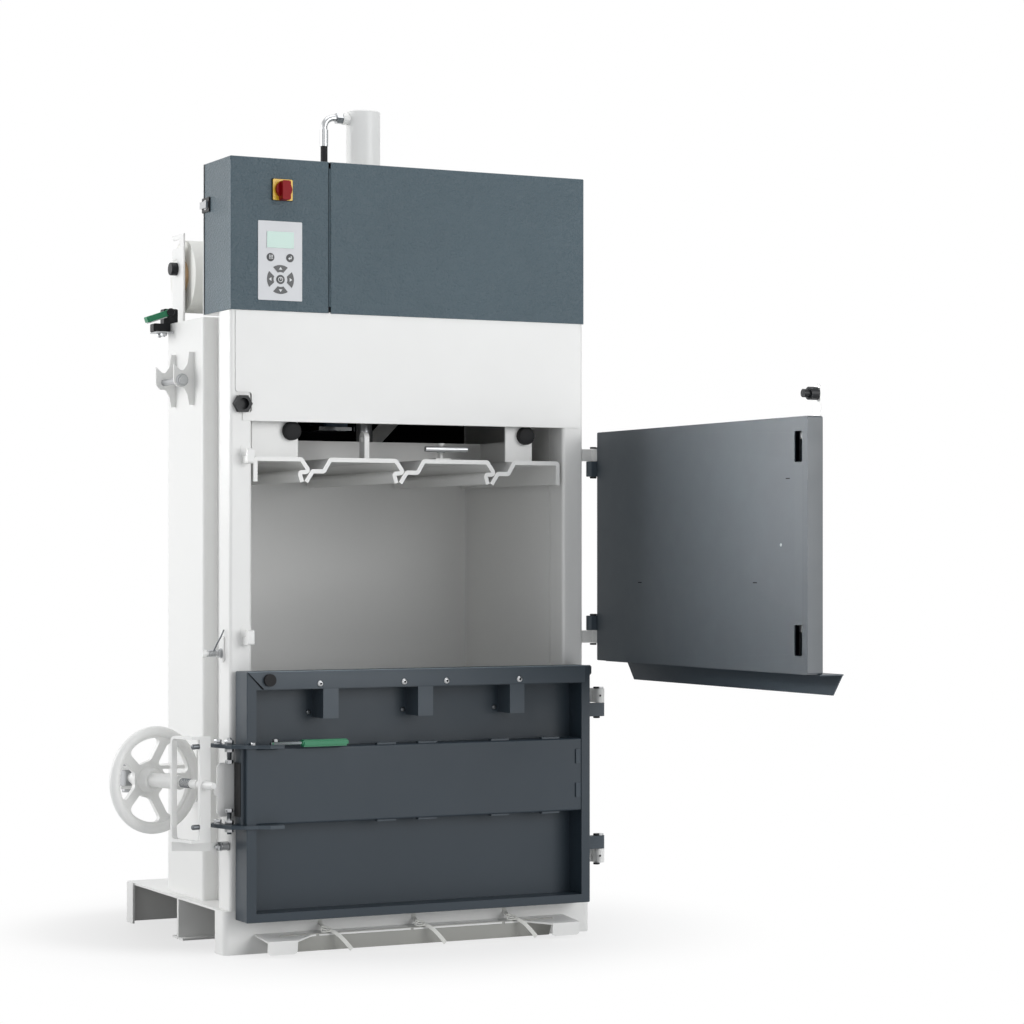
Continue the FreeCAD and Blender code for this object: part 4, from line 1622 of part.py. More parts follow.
PARTS = {
    "end_runners": end_runners, "base_channels": base_channels, "chamber_floor": chamber_floor,
    "tie_shelf": tie_shelf, "columns": columns, "side_walls": side_walls, "side_boxes": side_boxes,
    "rear_wall": rear_wall, "head_beam": head_beam, "front_hood": front_hood,
    "hex_socket": sensor_socket, "door_keepers": door_keepers, "hinge_blocks": hinge_blocks,
    "hinge_pins": hinge_pins, "cylinder_barrel": cylinder_barrel, "port_elbow": port_elbow,
    "hydraulic_hose": hydraulic_hose, "cabinet_tray": cabinet_tray, "cabinet_cover": cabinet_cover,
    "control_cover": control_cover, "control_panel": control_panel, "switch_plate": switch_plate,
    "switch_knob": switch_knob, "cover_latch": cover_latch, "control_box": control_box,
    "oil_tank": oil_tank, "pump_motor": pump_motor, "valve_block": valve_block, "platen": platen,
    "platen_beam": platen_beam, "t_handle": t_handle, "guide_buffers": guide_buffers,
    "piston_rod": piston_rod, "upper_door": upper_door, "latch_bar": latch_bar,
    "grip_strip": grip_strip, "sensor_bracket": sensor_bracket, "door_sensor": door_sensor,
    "lower_door": lower_door, "strap_brackets": strap_brackets, "bumper": bumper,
    "hook_arms": hook_arms, "lock_lever": lock_lever, "handwheel": handwheel,
    "lock_yoke": lock_yoke, "pivot_block": pivot_block, "lock_bracket": lock_bracket,
    "lock_guide_plate": lock_guide_plate, "roll_brackets": roll_brackets, "roll_shaft": roll_shaft,
    "rest_brackets": rest_brackets, "tensioner_body": tensioner_body,
    "tensioner_lever": tensioner_lever, "spring_catch": spring_catch,
}
for name, place in zip(("left", "middle", "right"), (-1, 0, 1)):
    PARTS["strap_roll_" + name] = lambda index=place: strap_roll(index)
for name, line in zip(("left", "middle", "right"), STRAP_LINES):
    PARTS["strap_tail_" + name] = lambda x=line: strap_tail(x)

os.makedirs("parts", exist_ok=True)
for name, make in PARTS.items():
    shape = make()
    if not shape.isValid() or shape.Volume <= 0:
        print("bad shape", name, shape.Volume)
    shape.exportStep("parts/" + name + ".step")
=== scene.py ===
"""Looks of the recycling baler: paint, plating, rubber and straps on the pieces of the frame, the small
fittings that ride on them, and a plain studio. Sizes are in millimetres unless a comment says otherwise."""
import json
import math
import bpy
import bmesh
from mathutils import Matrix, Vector

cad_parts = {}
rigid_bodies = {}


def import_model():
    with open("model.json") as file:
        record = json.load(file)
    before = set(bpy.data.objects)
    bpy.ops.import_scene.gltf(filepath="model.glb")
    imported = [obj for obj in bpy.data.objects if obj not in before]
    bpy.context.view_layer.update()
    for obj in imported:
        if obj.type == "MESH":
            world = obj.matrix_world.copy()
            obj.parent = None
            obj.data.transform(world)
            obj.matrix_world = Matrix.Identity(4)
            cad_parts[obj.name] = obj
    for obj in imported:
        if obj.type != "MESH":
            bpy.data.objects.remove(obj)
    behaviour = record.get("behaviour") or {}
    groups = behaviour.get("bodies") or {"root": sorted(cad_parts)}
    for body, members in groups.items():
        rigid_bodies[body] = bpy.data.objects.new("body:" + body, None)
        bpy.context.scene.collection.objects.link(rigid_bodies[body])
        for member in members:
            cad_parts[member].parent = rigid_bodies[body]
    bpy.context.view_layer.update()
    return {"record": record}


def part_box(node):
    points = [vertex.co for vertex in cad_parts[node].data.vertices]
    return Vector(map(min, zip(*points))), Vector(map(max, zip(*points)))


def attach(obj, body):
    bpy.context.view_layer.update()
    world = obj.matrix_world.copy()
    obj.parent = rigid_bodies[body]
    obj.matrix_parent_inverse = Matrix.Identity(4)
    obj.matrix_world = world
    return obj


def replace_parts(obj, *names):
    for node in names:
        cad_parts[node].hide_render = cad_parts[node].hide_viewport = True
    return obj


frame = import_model()

MM = 0.001
FRONT_Y = -306.5          # depth 0, the front face of the cabinet, in the frame
FRONT = Vector((0, -1, 0))
BACK = -FRONT
UP = Vector((0, 0, 1))
DOWN = -UP
LEFT = Vector((-1, 0, 0))
RIGHT = -LEFT
SIDES = ("left", "middle", "right")


def at(x, depth, z):
    """Point in metres from millimetres: across, behind the cabinet front, up."""
    return Vector((x * MM, (FRONT_Y + depth) * MM, z * MM))


def in_front(depth, corners):
    """Outline that faces the front, from its corners (x, z)."""
    return [at(x, depth, z) for x, z in corners]


def in_side(x, corners):
    """Outline that faces a side, from its corners (depth, z)."""
    return [at(x, depth, z) for depth, z in corners]


def in_level(z, corners):
    """Level outline, from its corners (x, depth)."""
    return [at(x, depth, z) for x, depth in corners]


def rect(low_a, low_b, high_a, high_b):
    """Corners of a rectangle."""
    return (low_a, low_b), (high_a, low_b), (high_a, high_b), (low_a, high_b)


def circle(steps):
    """Angles round a full turn."""
    return [2 * math.pi * i / steps for i in range(steps)]


# ------------------------------------------------------------------ shader nodes
def add(tree, kind, **values):
    """New node: lower-case names are its settings, capitalised ones its sockets."""
    node = tree.nodes.new("ShaderNode" + kind)
    for name, value in values.items():
        if name[0].islower():
            setattr(node, name, value)
    for name, value in values.items():
        if name[0].isupper():
            node.inputs[name.replace("_", " ")].default_value = value
    return node


def compute(tree, operation, *values):
    """Math node, where each value is a number or the socket that feeds it."""
    node = add(tree, "Math", operation=operation)
    for socket, value in zip(node.inputs, values):
        if isinstance(value, bpy.types.NodeSocket):
            tree.links.new(value, socket)
        else:
            socket.default_value = value
    return node.outputs["Value"]


def noise(tree, coords, **values):
    """Noise texture over the object's own coordinates."""
    texture = add(tree, "TexNoise", **values)
    tree.links.new(coords, texture.inputs["Vector"])
    return texture.outputs["Fac"]


def ranged(tree, value, low, high, **values):
    """Value brought to the range from low to high."""
    node = add(tree, "MapRange", To_Min=low, To_Max=high, **values)
    tree.links.new(value, node.inputs["Value"])
    return node.outputs["Result"]


def relief(tree, height, strength, distance):
    """Bump on the surface, distance in metres."""
    bump = add(tree, "Bump", Strength=strength, Distance=distance)
    tree.links.new(height, bump.inputs["Height"])
    tree.links.new(bump.outputs["Normal"], tree.nodes["Principled BSDF"].inputs["Normal"])


# ------------------------------------------------------------------ materials
CLOUD_SCALE, CLOUD_DETAIL = 5.0, 5.0      # slow mottle of the colour
SMEAR_SCALE, SMEAR_DETAIL = 22.0, 6.0     # uneven gloss
COAT_ROUGHNESS = 0.18
LEAST_ROUGHNESS = 0.02
HIGHLIGHT_FROM = 0.52           # pointiness at which an edge starts to turn light, a painted highlight
HIGHLIGHT_TO = 0.62
EDGE_GAIN = 2
EDGE_LIFT = 0.08
GRAIN_PER_METRE = 1000.0
GRAIN_DETAIL = 2.0
GRAIN_SHARPNESS = 0.5


def shader(name, color, rough, metal=0.0, grain=0.0, grain_size=1.0, grain_depth=0.0006, mottle=0.04,
           rough_spread=0.06, coat=0.0, edge=0.0, specular=0.5):
    """Painted, plated or moulded surface: colour mottle, uneven gloss, fine grain, and lighter edges as a
    painted highlight.
    """
    mat = bpy.data.materials.new(name)
    mat.use_nodes = True
    tree = mat.node_tree
    bsdf = tree.nodes["Principled BSDF"]
    bsdf.inputs["Metallic"].default_value = metal
    bsdf.inputs["Specular IOR Level"].default_value = specular
    bsdf.inputs["Coat Weight"].default_value = coat
    bsdf.inputs["Coat Roughness"].default_value = COAT_ROUGHNESS
    coords = add(tree, "TexCoord").outputs["Object"]
    tint = add(tree, "Mix", data_type="RGBA", blend_type="MULTIPLY", Factor=1.0, A=(*color, 1))
    cloud = noise(tree, coords, Scale=CLOUD_SCALE, Detail=CLOUD_DETAIL)
    tree.links.new(ranged(tree, cloud, 1.0 - mottle, 1.0 + mottle), tint.inputs["B"])
    surface = tint.outputs["Result"]
    # edges lightened by their pointiness: a painted highlight
    if edge:
        lighter = [min(1, c * EDGE_GAIN + EDGE_LIFT) for c in color]
        light = add(tree, "Mix", data_type="RGBA", B=(*lighter, 1))
        pointed = add(tree, "NewGeometry").outputs["Pointiness"]
        edge_highlight = ranged(tree, pointed, 0.0, edge, From_Min=HIGHLIGHT_FROM, From_Max=HIGHLIGHT_TO)
        tree.links.new(edge_highlight, light.inputs["Factor"])
        tree.links.new(surface, light.inputs["A"])
        surface = light.outputs["Result"]
    tree.links.new(surface, bsdf.inputs["Base Color"])
    smear = noise(tree, coords, Scale=SMEAR_SCALE, Detail=SMEAR_DETAIL)
    gloss = ranged(tree, smear, max(LEAST_ROUGHNESS, rough - rough_spread), rough + rough_spread)
    tree.links.new(gloss, bsdf.inputs["Roughness"])
    if grain:
        fine = noise(tree, coords, Scale=GRAIN_PER_METRE / grain_size, Detail=GRAIN_DETAIL,
                     Roughness=GRAIN_SHARPNESS)
        relief(tree, fine, grain, grain_depth)
    return mat


WHITE = shader("white_powder_coat", (0.80, 0.80, 0.785), 0.40, grain=0.10, grain_size=3.0, mottle=0.02,
               coat=0.10)
# edge=0.25 lightens the edges of the two dark coats as a painted highlight
DARK = shader("dark_powder_coat", (0.020, 0.032, 0.044), 0.42, grain=0.10, grain_size=2.0, mottle=0.10,
              edge=0.25, specular=0.38)
SATIN = shader("satin_door_coat", (0.014, 0.024, 0.033), 0.48, grain=0.10, grain_size=2.0, mottle=0.10,
               edge=0.25, specular=1.0)
CABINET = shader("textured_coat", (0.068, 0.103, 0.124), 0.34, grain=1.0, grain_size=5.0, mottle=0.10,
                 grain_depth=0.0030, specular=0.30)
# lighter blue-grey for painted highlights along folded edges
EDGE = shader("painted_edge_highlight", (0.16, 0.20, 0.23), 0.36, grain=0.10, grain_size=2.0, mottle=0.10)
ZINC = shader("zinc_plate", (0.43, 0.44, 0.45), 0.30, metal=1.0, grain=0.08, grain_size=1.2, mottle=0.10)
CHROME = shader("chrome", (0.58, 0.59, 0.61), 0.12, metal=1.0, mottle=0.02, rough_spread=0.03)
RUBBER = shader("black_rubber", (0.016, 0.016, 0.017), 0.62, grain=0.25, grain_size=1.0, mottle=0.12,
                specular=0.2)
BLACK = shader("black_plastic", (0.012, 0.013, 0.015), 0.40, grain=0.15, grain_size=1.5, mottle=0.05,
               specular=0.25)
GREY = shader("grey_plastic", (0.16, 0.17, 0.18), 0.5, grain=0.2, grain_size=1.5)
YELLOW = shader("yellow_plastic", (0.80, 0.50, 0.03), 0.30, grain=0.08, grain_size=1.5, mottle=0.03)
RED = shader("red_plastic", (0.24, 0.004, 0.008), 0.38, grain=0.08, grain_size=1.5, mottle=0.05,
             specular=0.12)
GREEN = shader("green_sleeve", (0.014, 0.19, 0.085), 0.42, grain=0.2, grain_size=1.2, mottle=0.06)
FILM = shader("panel_film", (0.64, 0.65, 0.67), 0.40, grain=0.12, grain_size=1.0, mottle=0.015)
INK = shader("key_print", (0.060, 0.062, 0.066), 0.42, grain=0.12, grain_size=1.0, mottle=0.05)
PALE = shader("pale_print", (0.72, 0.73, 0.74), 0.45, grain=0.05, mottle=0.02)
SCREEN = shader("display_window", (0.42, 0.60, 0.53), 0.22, grain=0.03, mottle=0.03, coat=0.3)
MOTOR = shader("motor_paint", (0.10, 0.16, 0.25), 0.4, grain=0.2, grain_size=3.0)
ALLOY = shader("machined_alloy", (0.72, 0.73, 0.75), 0.32, metal=1.0, grain=0.1, grain_size=0.8)
BOARD = shader("cardboard_core", (0.52, 0.35, 0.20), 0.85, grain=0.4, grain_size=1.2, mottle=0.12)
STEEL = shader("dark_steel", (0.13, 0.14, 0.15), 0.34, metal=0.9, grain=0.15, grain_size=1.0, mottle=0.12)
# white paint darkened to grey: painted shade for the lip under the shelf
SHADED_LIP = shader("lip_painted_shade", (0.42, 0.42, 0.395), 0.5, grain=0.10, grain_size=3.0, mottle=0.03, specular=0.3)
# near-black for painted shade: sheets and lines put in recesses, gaps and the inside of the head
SHADE = shader("painted_shade_black", (0.006, 0.006, 0.007), 0.9, grain=0.3, grain_size=2.0, mottle=0.2,
               specular=0.1)

RIBS_PER_METRE = 260.0
RIB_DISTORTION = 1.2
STRAP_ROUGHNESS = 0.72
WINDING = 3800.0           # radians of wound strap per metre from the middle of a roll
WEAVE_STRENGTH = 0.5
WEAVE_HEIGHT = 0.0008      # metres


def woven(name, color, centre=None):
    """Polyester strap: plain weave of fine ribs, and wound edges where it lies on a roll."""
    mat = shader(name, color, STRAP_ROUGHNESS, mottle=0.05)
    tree = mat.node_tree
    coords = add(tree, "TexCoord").outputs["Object"]
    weave = add(tree, "TexWave", wave_type="BANDS", bands_direction="X", Scale=RIBS_PER_METRE,
                Distortion=RIB_DISTORTION)
    tree.links.new(coords, weave.inputs["Vector"])
    height = weave.outputs["Fac"]
    if centre is not None:
        shift = add(tree, "Mapping", Location=(0, -centre.y, -centre.z), Scale=(0, 1, 1))
        tree.links.new(coords, shift.inputs["Vector"])
        away = add(tree, "VectorMath", operation="LENGTH")
        tree.links.new(shift.outputs["Vector"], away.inputs[0])
        wound = compute(tree, "SINE", compute(tree, "MULTIPLY", away.outputs["Value"], WINDING))
        height = compute(tree, "ADD", wound, height)
    relief(tree, height, WEAVE_STRENGTH, WEAVE_HEIGHT)
    return mat


def roll_centre(side):
    """Middle of a strap roll of the frame."""
    low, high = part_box("strap_roll_" + side)
    return (low + high) / 2


STRAP = woven("woven_strap", (0.80, 0.80, 0.76))
BY_SLOT = {"white_paint": WHITE, "dark_paint": DARK, "cabinet_paint": CABINET, "zinc": ZINC,
           "polished_steel": CHROME, "black_rubber": RUBBER, "black_plastic": BLACK, "grey_plastic": GREY,
           "yellow_plastic": YELLOW, "red_plastic": RED, "green_plastic": GREEN, "panel_film": FILM,
           "motor_paint": MOTOR, "aluminium": ALLOY, "woven_strap": STRAP}
BY_NODE = {"strap_roll_" + side: woven("strap_roll_edge_" + side, (0.88, 0.88, 0.84), roll_centre(side))
           for side in SIDES}
BY_NODE["upper_door"] = SATIN
BY_NODE["door_keepers"] = WHITE
for part in frame["record"]["subparts"]:
    node = bpy.data.objects[part["node"]]
    node.data.materials.clear()
    node.data.materials.append(BY_NODE.get(part["node"], BY_SLOT[part["material_slot"]]))

# ------------------------------------------------------------------ mesh helpers
BEVEL_FROM = 0.5           # edges that turn by more than this many radians are rounded
BEVEL_SEGMENTS = 2
SHARP_FROM = math.radians(35)


def make(name, bm, mat, body, soft=0.0):
    """Object from a bmesh, with edges rounded by soft, that rides on a body."""
    if soft:
        edges = [e for e in bm.edges if e.calc_face_angle(0) > BEVEL_FROM]
        bmesh.ops.bevel(bm, geom=edges, offset=soft * MM, segments=BEVEL_SEGMENTS, affect="EDGES",
                        clamp_overlap=True)
    bmesh.ops.recalc_face_normals(bm, faces=bm.faces)
    mesh = bpy.data.meshes.new(name)
    bm.to_mesh(mesh)
    bm.free()
    piece = bpy.data.objects.new(name, mesh)
    bpy.context.scene.collection.objects.link(piece)
    mesh.materials.append(mat)
    mesh.shade_smooth()
    mesh.set_sharp_from_angle(angle=SHARP_FROM)
    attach(piece, body)
    return piece


def thicken(bm, faces, run):
    """Extrude faces by a vector."""
    out = bmesh.ops.extrude_face_region(bm, geom=faces)
    moved = [v for v in out["geom"] if isinstance(v, bmesh.types.BMVert)]
    bmesh.ops.translate(bm, vec=run, verts=moved)


def loft(bm, loops, closed=True):
    """Walls between loops of equally many vertices, with the two ends closed or open."""
    count = len(loops[0])
    for one, two in zip(loops, loops[1:]):
        for i in range(count):
            j = (i + 1) % count
            bm.faces.new((one[i], one[j], two[j], two[i]))
    if closed:
        bm.faces.new(loops[0])
        bm.faces.new(loops[-1])


def rings(bm, start, axis, spokes, profile):
    """Loops of vertices round an axis, from a profile of (distance along the axis, radius)."""
    return [[bm.verts.new(start + axis * (along * MM) + spoke * (radius * MM)) for spoke in spokes]
            for along, radius in profile]


def plate(name, points, way, thick, mat, body, soft=0.0):
    """Prism: an outline of points, run along a direction."""
    bm = bmesh.new()
    face = bm.faces.new([bm.verts.new(p) for p in points])
    thicken(bm, [face], way * (thick * MM))
    make(name, bm, mat, body, soft)


def turned(name, start, axis, profile, mat, body, sides=48):
    """Revolved piece: its profile is a list of (distance along the axis, radius)."""
    axis = axis.normalized()
    side = axis.orthogonal().normalized()
    other = axis.cross(side)
    spokes = [side * math.cos(a) + other * math.sin(a) for a in circle(sides)]
    bm = bmesh.new()
    loft(bm, rings(bm, start, axis, spokes, profile))
    make(name, bm, mat, body)


def disc(name, face, axis, radius, thick, mat, body, sides):
    """Plain short cylinder."""
    turned(name, face, axis, [(0, radius), (thick, radius)], mat, body, sides)


def tube(name, points, radius, mat, body, sides=12):
    """Bent wire through points."""
    curve = bpy.data.curves.new(name, "CURVE")
    curve.dimensions = "3D"
    spline = curve.splines.new("NURBS")
    spline.points.add(len(points) - 1)
    for slot, point in zip(spline.points, points):
        slot.co = (*point, 1)
    spline.order_u = 3
    spline.use_endpoint_u = True
    curve.bevel_depth = radius * MM
    curve.bevel_resolution = sides // 4 - 1
    curve.use_fill_caps = True
    source = bpy.data.objects.new(name + "_path", curve)
    bpy.context.scene.collection.objects.link(source)
    mesh = bpy.data.meshes.new_from_object(source)
    bpy.data.objects.remove(source)
    mesh.name = name
    mesh.materials.clear()
    mesh.materials.append(mat)
    mesh.shade_smooth()
    piece = bpy.data.objects.new(name, mesh)
    bpy.context.scene.collection.objects.link(piece)
    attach(piece, body)


def ribbon(name, points, width, thick, bend, mat, body, node):
    """Flat strap through points, rounded where it bends, in place of a strap of the frame."""
    fine = [points[0]]
    for one, two, three in zip(points, points[1:], points[2:]):
        start = two.lerp(one, min(BEND_SHARE, bend * MM / (two - one).length))
        end = two.lerp(three, min(BEND_SHARE, bend * MM / (three - two).length))
        fine += [start.lerp(two, t).lerp(two.lerp(end, t), t) for t in (0, 0.25, 0.5, 0.75, 1)]
    fine.append(points[-1])
    bm = bmesh.new()
    rows = []
    for i, point in enumerate(fine):
        run = (fine[min(i + 1, len(fine) - 1)] - fine[max(i - 1, 0)]).normalized()
        side = (RIGHT - run * RIGHT.dot(run)).normalized() * (width * MM)
        lift = side.cross(run).normalized() * (thick * MM)
        rows.append([bm.verts.new(p) for p in (point, point + side, point + side + lift, point + lift)])
    loft(bm, rows)
    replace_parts(make(name, bm, mat, body), node)


# ------------------------------------------------------------------ fasteners
BEND_SHARE = 0.4           # most of a straight stretch that a bend takes up
NUT_END = 0.93             # radius at the ends of a nut, as a share of its corner radius
NUT_CHAMFER = 0.12
SCREW_DOME = ((0, 1), (0.28, 1), (0.55, 0.80), (0.66, 0.52), (0.66, 0.40), (0.30, 0.38))
WASHER_THICK = 1.6
WASHER_EDGE = 0.3
WASHER_FACE = 0.97
THREAD_SHARE = 0.30        # radius of a thread, as a share of the flats of its nut
THREAD_SUNK = 0.5
THREAD_CORE = 0.9
SPRING_STEPS = 14


def nut(name, face, axis, flats, height, mat, body):
    """Hexagon with chamfered corners."""
    corner = flats / math.sqrt(3)
    turned(name, face, axis, [(0, corner * NUT_END), (height * NUT_CHAMFER, corner),
                              (height * (1 - NUT_CHAMFER), corner), (height, corner * NUT_END)],
           mat, body, sides=6)


def screw(name, face, axis, radius, mat, body):
    """Domed screw head with a round recess."""
    profile = [(radius * along, radius * out) for along, out in SCREW_DOME]
    turned(name, face, axis, profile, mat, body, sides=24)


def bolt(name, face, axis, flats, height, body, washer=0.0, thread=0.0):
    """Zinc nut or head on a face, on a washer of that radius, with a thread end proud of it."""
    if washer:
        turned(name + "_washer", face, axis,
               [(0, washer * WASHER_FACE), (WASHER_EDGE, washer), (WASHER_THICK - WASHER_EDGE, washer),
                (WASHER_THICK, washer * WASHER_FACE)], ZINC, body, sides=32)
        face = face + axis * (WASHER_THICK * MM)
    nut(name, face, axis, flats, height, ZINC, body)
    if thread:
        radius = flats * THREAD_SHARE
        turned(name + "_thread", face + axis * ((height - THREAD_SUNK) * MM), axis,
               [(0, radius), (thread * 0.7, radius), (thread, radius * 0.75)], ZINC, body, sides=20)


def threaded(name, start, axis, radius, length, pitch, mat, body):
    """Rod with thread ridges."""
    turns = int(length / pitch)
    core = radius * THREAD_CORE
    profile = [(0, core)]
    for i in range(turns):
        profile += [((i + 0.25) * length / turns, radius), ((i + 0.75) * length / turns, core)]
    profile.append((length, core))
    turned(name, start, axis, profile, mat, body, sides=28)


def spring(name, start, axis, radius, wire, turns, length, mat, body):
    """Helical spring."""
    side = axis.orthogonal().normalized()
    other = axis.cross(side)
    count = turns * SPRING_STEPS
    points = []
    for i in range(count + 1):
        angle = 2 * math.pi * i / SPRING_STEPS
        points.append(start + axis * (length * MM * i / count)
                      + (side * math.cos(angle) + other * math.sin(angle)) * (radius * MM))
    tube(name, points, wire, mat, body)


# ------------------------------------------------------------------ control panel
PANEL_X = -388.0           # low left corner of the panel
PANEL_Z = 1490.0
PANEL_FACE = -2.15
PRINT_THICK = 0.5
PRINT_WALL = 0.3
PRINT_ROUND = 0.4
ROUND_KEYS = (("key_menu", 30.0), ("key_enter", 78.0))
ROUND_KEY_Z = 98.0
ROUND_KEY_RADIUS = 9.5
DOT_X, DOT_Z = 26.5, 94.7
DOT_STEP_X, DOT_STEP_Z = 3.5, 3.3
DOT_WIDTH, DOT_HEIGHT = 2.2, 2.0
ENTER_ARROW = ((73.2, 96.6), (77.2, 93.2), (77.2, 95.6), (81.6, 95.6), (81.6, 102.4), (79.6, 102.4),
               (79.6, 97.6), (77.2, 97.6), (77.2, 100.0))
RING_X, RING_Z = 54.5, 48.0
RING_OUTER, RING_INNER = 33.0, 17.0
RING_HALF_ANGLE = math.radians(33)
RING_INNER_SHARE = 0.72
RING_STEPS = 8
ARROW_TIP, ARROW_FOOT, ARROW_HALF = 28.5, 22.5, 4.2
STOP_RADIUS, STOP_RING, STOP_CENTRE = 10.5, 6.0, 4.4
STOP_BAR = rect(RING_X - 1, RING_Z - 0.5, RING_X + 1, RING_Z + 4)
DISPLAY_FACE = -3.2
DISPLAY = rect(-367, 1610, -301, 1647)
DISPLAY_THICK, DISPLAY_ROUND = 0.6, 0.2
SWITCH_X, SWITCH_Z = -329, 1743
SWITCH_INNER, SWITCH_OUTER, SWITCH_BASE = 24.5, 24.9, 4.0


def on_panel(x, z, layer=0):
    """Point on the panel, on top of so many layers of print."""
    return at(PANEL_X + x, PANEL_FACE - layer * PRINT_THICK, PANEL_Z + z)


def print_disc(name, x, z, radius, mat, layer=0):
    """Round print on the panel."""
    turned(name, on_panel(x, z, layer), FRONT,
           [(0, radius), (PRINT_WALL, radius), (PRINT_THICK, radius - PRINT_ROUND)], mat, "control_cover")


def print_shape(name, corners, mat, layer=0):
    """Print on the panel, from an outline."""
    plate(name, [on_panel(x, z, layer) for x, z in corners], FRONT, PRINT_THICK, mat, "control_cover")


def ring_arc(radius, base, half_angle):
    """Points of an arc round the middle of the arrow keys."""
    turns = [base + half_angle * (i / RING_STEPS - 1) for i in range(2 * RING_STEPS + 1)]
    return [(RING_X + radius * math.cos(a), RING_Z + radius * math.sin(a)) for a in turns]


def arrow_key(quarter):
    """One quarter of the ring of keys, with its arrow pointing outwards."""
    base = math.radians(90 * quarter)
    outer = ring_arc(RING_OUTER, base, RING_HALF_ANGLE)
    inner = ring_arc(RING_INNER, base, -RING_HALF_ANGLE * RING_INNER_SHARE)
    print_shape("key_arrow_%d" % quarter, outer + inner, INK)
    out = Vector((math.cos(base), math.sin(base)))
    across = Vector((-out.y, out.x)) * ARROW_HALF
    middle = Vector((RING_X, RING_Z))
    foot = middle + out * ARROW_FOOT
    print_shape("arrow_%d" % quarter, [middle + out * ARROW_TIP, foot + across, foot - across], PALE, 1)


def control_panel():
    """Keys and their print, the display window and the base of the main switch."""
    for name, x in ROUND_KEYS:
        print_disc(name, x, ROUND_KEY_Z, ROUND_KEY_RADIUS, INK)
    for row in range(3):
        for col in range(3):
            x = DOT_X + col * DOT_STEP_X
            z = DOT_Z + row * DOT_STEP_Z
            print_shape("menu_dot_%d%d" % (row, col), rect(x, z, x + DOT_WIDTH, z + DOT_HEIGHT), PALE, 1)
    print_shape("enter_arrow", ENTER_ARROW, PALE, 1)
    for quarter in range(4):
        arrow_key(quarter)
    print_disc("key_stop", RING_X, RING_Z, STOP_RADIUS, INK)
    print_disc("key_stop_ring", RING_X, RING_Z, STOP_RING, PALE, 1)
    print_disc("key_stop_centre", RING_X, RING_Z, STOP_CENTRE, INK, 2)
    print_shape("key_stop_bar", STOP_BAR, PALE, 3)
    plate("display_glass", in_front(DISPLAY_FACE, DISPLAY), FRONT, DISPLAY_THICK, SCREEN, "control_cover",
          soft=DISPLAY_ROUND)
    bm = bmesh.new()
    loops = [[bm.verts.new(p) for p in in_front(0, rect(SWITCH_X - half, SWITCH_Z - half, SWITCH_X + half,
                                                        SWITCH_Z + half))]
             for half in (SWITCH_INNER, SWITCH_OUTER)]
    loft(bm, loops, closed=False)
    thicken(bm, bm.faces[:], FRONT * (SWITCH_BASE * MM))
    make("switch_base", bm, BLACK, "control_cover")


# ------------------------------------------------------------------ lower door
RAIL_FACE = -72.0          # the rail along the top of the door
RAIL_LOW, RAIL_HIGH = 605.5, 643.5
RAIL_SCREWS = (-265, -55, 53, 243)
RAIL_SCREW_Z = 616
RAIL_SCREW_RADIUS, RAIL_SCREW_PROUD = 7.0, 1.4
RECESS_RADIUS, RECESS_PROUD = 3.0, 3.3
SHADE_THICK = 0.6          # of the dark pieces of painted shade that stand for a recess or a gap
GAP_PROUD = 1.2
RAIL_PLATE_THICK, RAIL_PLATE_ROUND, RAIL_PLATE_SUNK = 1.4, 0.4, 0.1
RAIL_LIGHT = ((-441, RAIL_FACE, 644.7), (432, RAIL_FACE, 644.7))
COVER_LIGHT = ((-454.7, 0.3, 1468), (-454.7, 0.3, 1805))
RAIL_GAP = ((-443, 645), (-439.5, 643), (-401.5, RAIL_LOW), (-406, RAIL_LOW))
RAIL_PLATE = ((-441, RAIL_HIGH), (419, RAIL_HIGH), (419, RAIL_LOW), (-404, RAIL_LOW), (-441, 641))
LIGHT_RADIUS = 1.1
BRACKETS = (-238, 0, 238)
BRACKET_SCREW_LEFT, BRACKET_SCREW_DEPTH, BRACKET_SCREW_Z, BRACKET_SCREW_RADIUS = 30, -9, 548, 5.5
SLEEVE = rect(-319, -100.5, -204.5, -75.5)
SLEEVE_LOW, SLEEVE_HEIGHT, SLEEVE_ROUND = 474.6, 15.8, 4.5
TABS = (-96, 8, 196, 330)
TAB_ROWS = (("top", 472, UP), ("low", 300, DOWN))
TAB_FRONT, TAB_BACK, TAB_HALF = -66.0, -50.0, 24.0
TAB_HEIGHT, TAB_ROUND = 4.5, 1.0
END_LOWS = (332, 412)
END_HEIGHT, END_THICK, END_ROUND = 34, 2.2, 0.6
END_NEAR, END_FAR = (410, -70), (394, -73.4)      # x and depth of its two upright sides


def edge_line(name, ends, body):
    """Pale line along a folded edge: a painted highlight."""
    start, end = [at(*place) for place in ends]
    tube(name, [start, start.lerp(end, 0.5), end], LIGHT_RADIUS, EDGE, body)


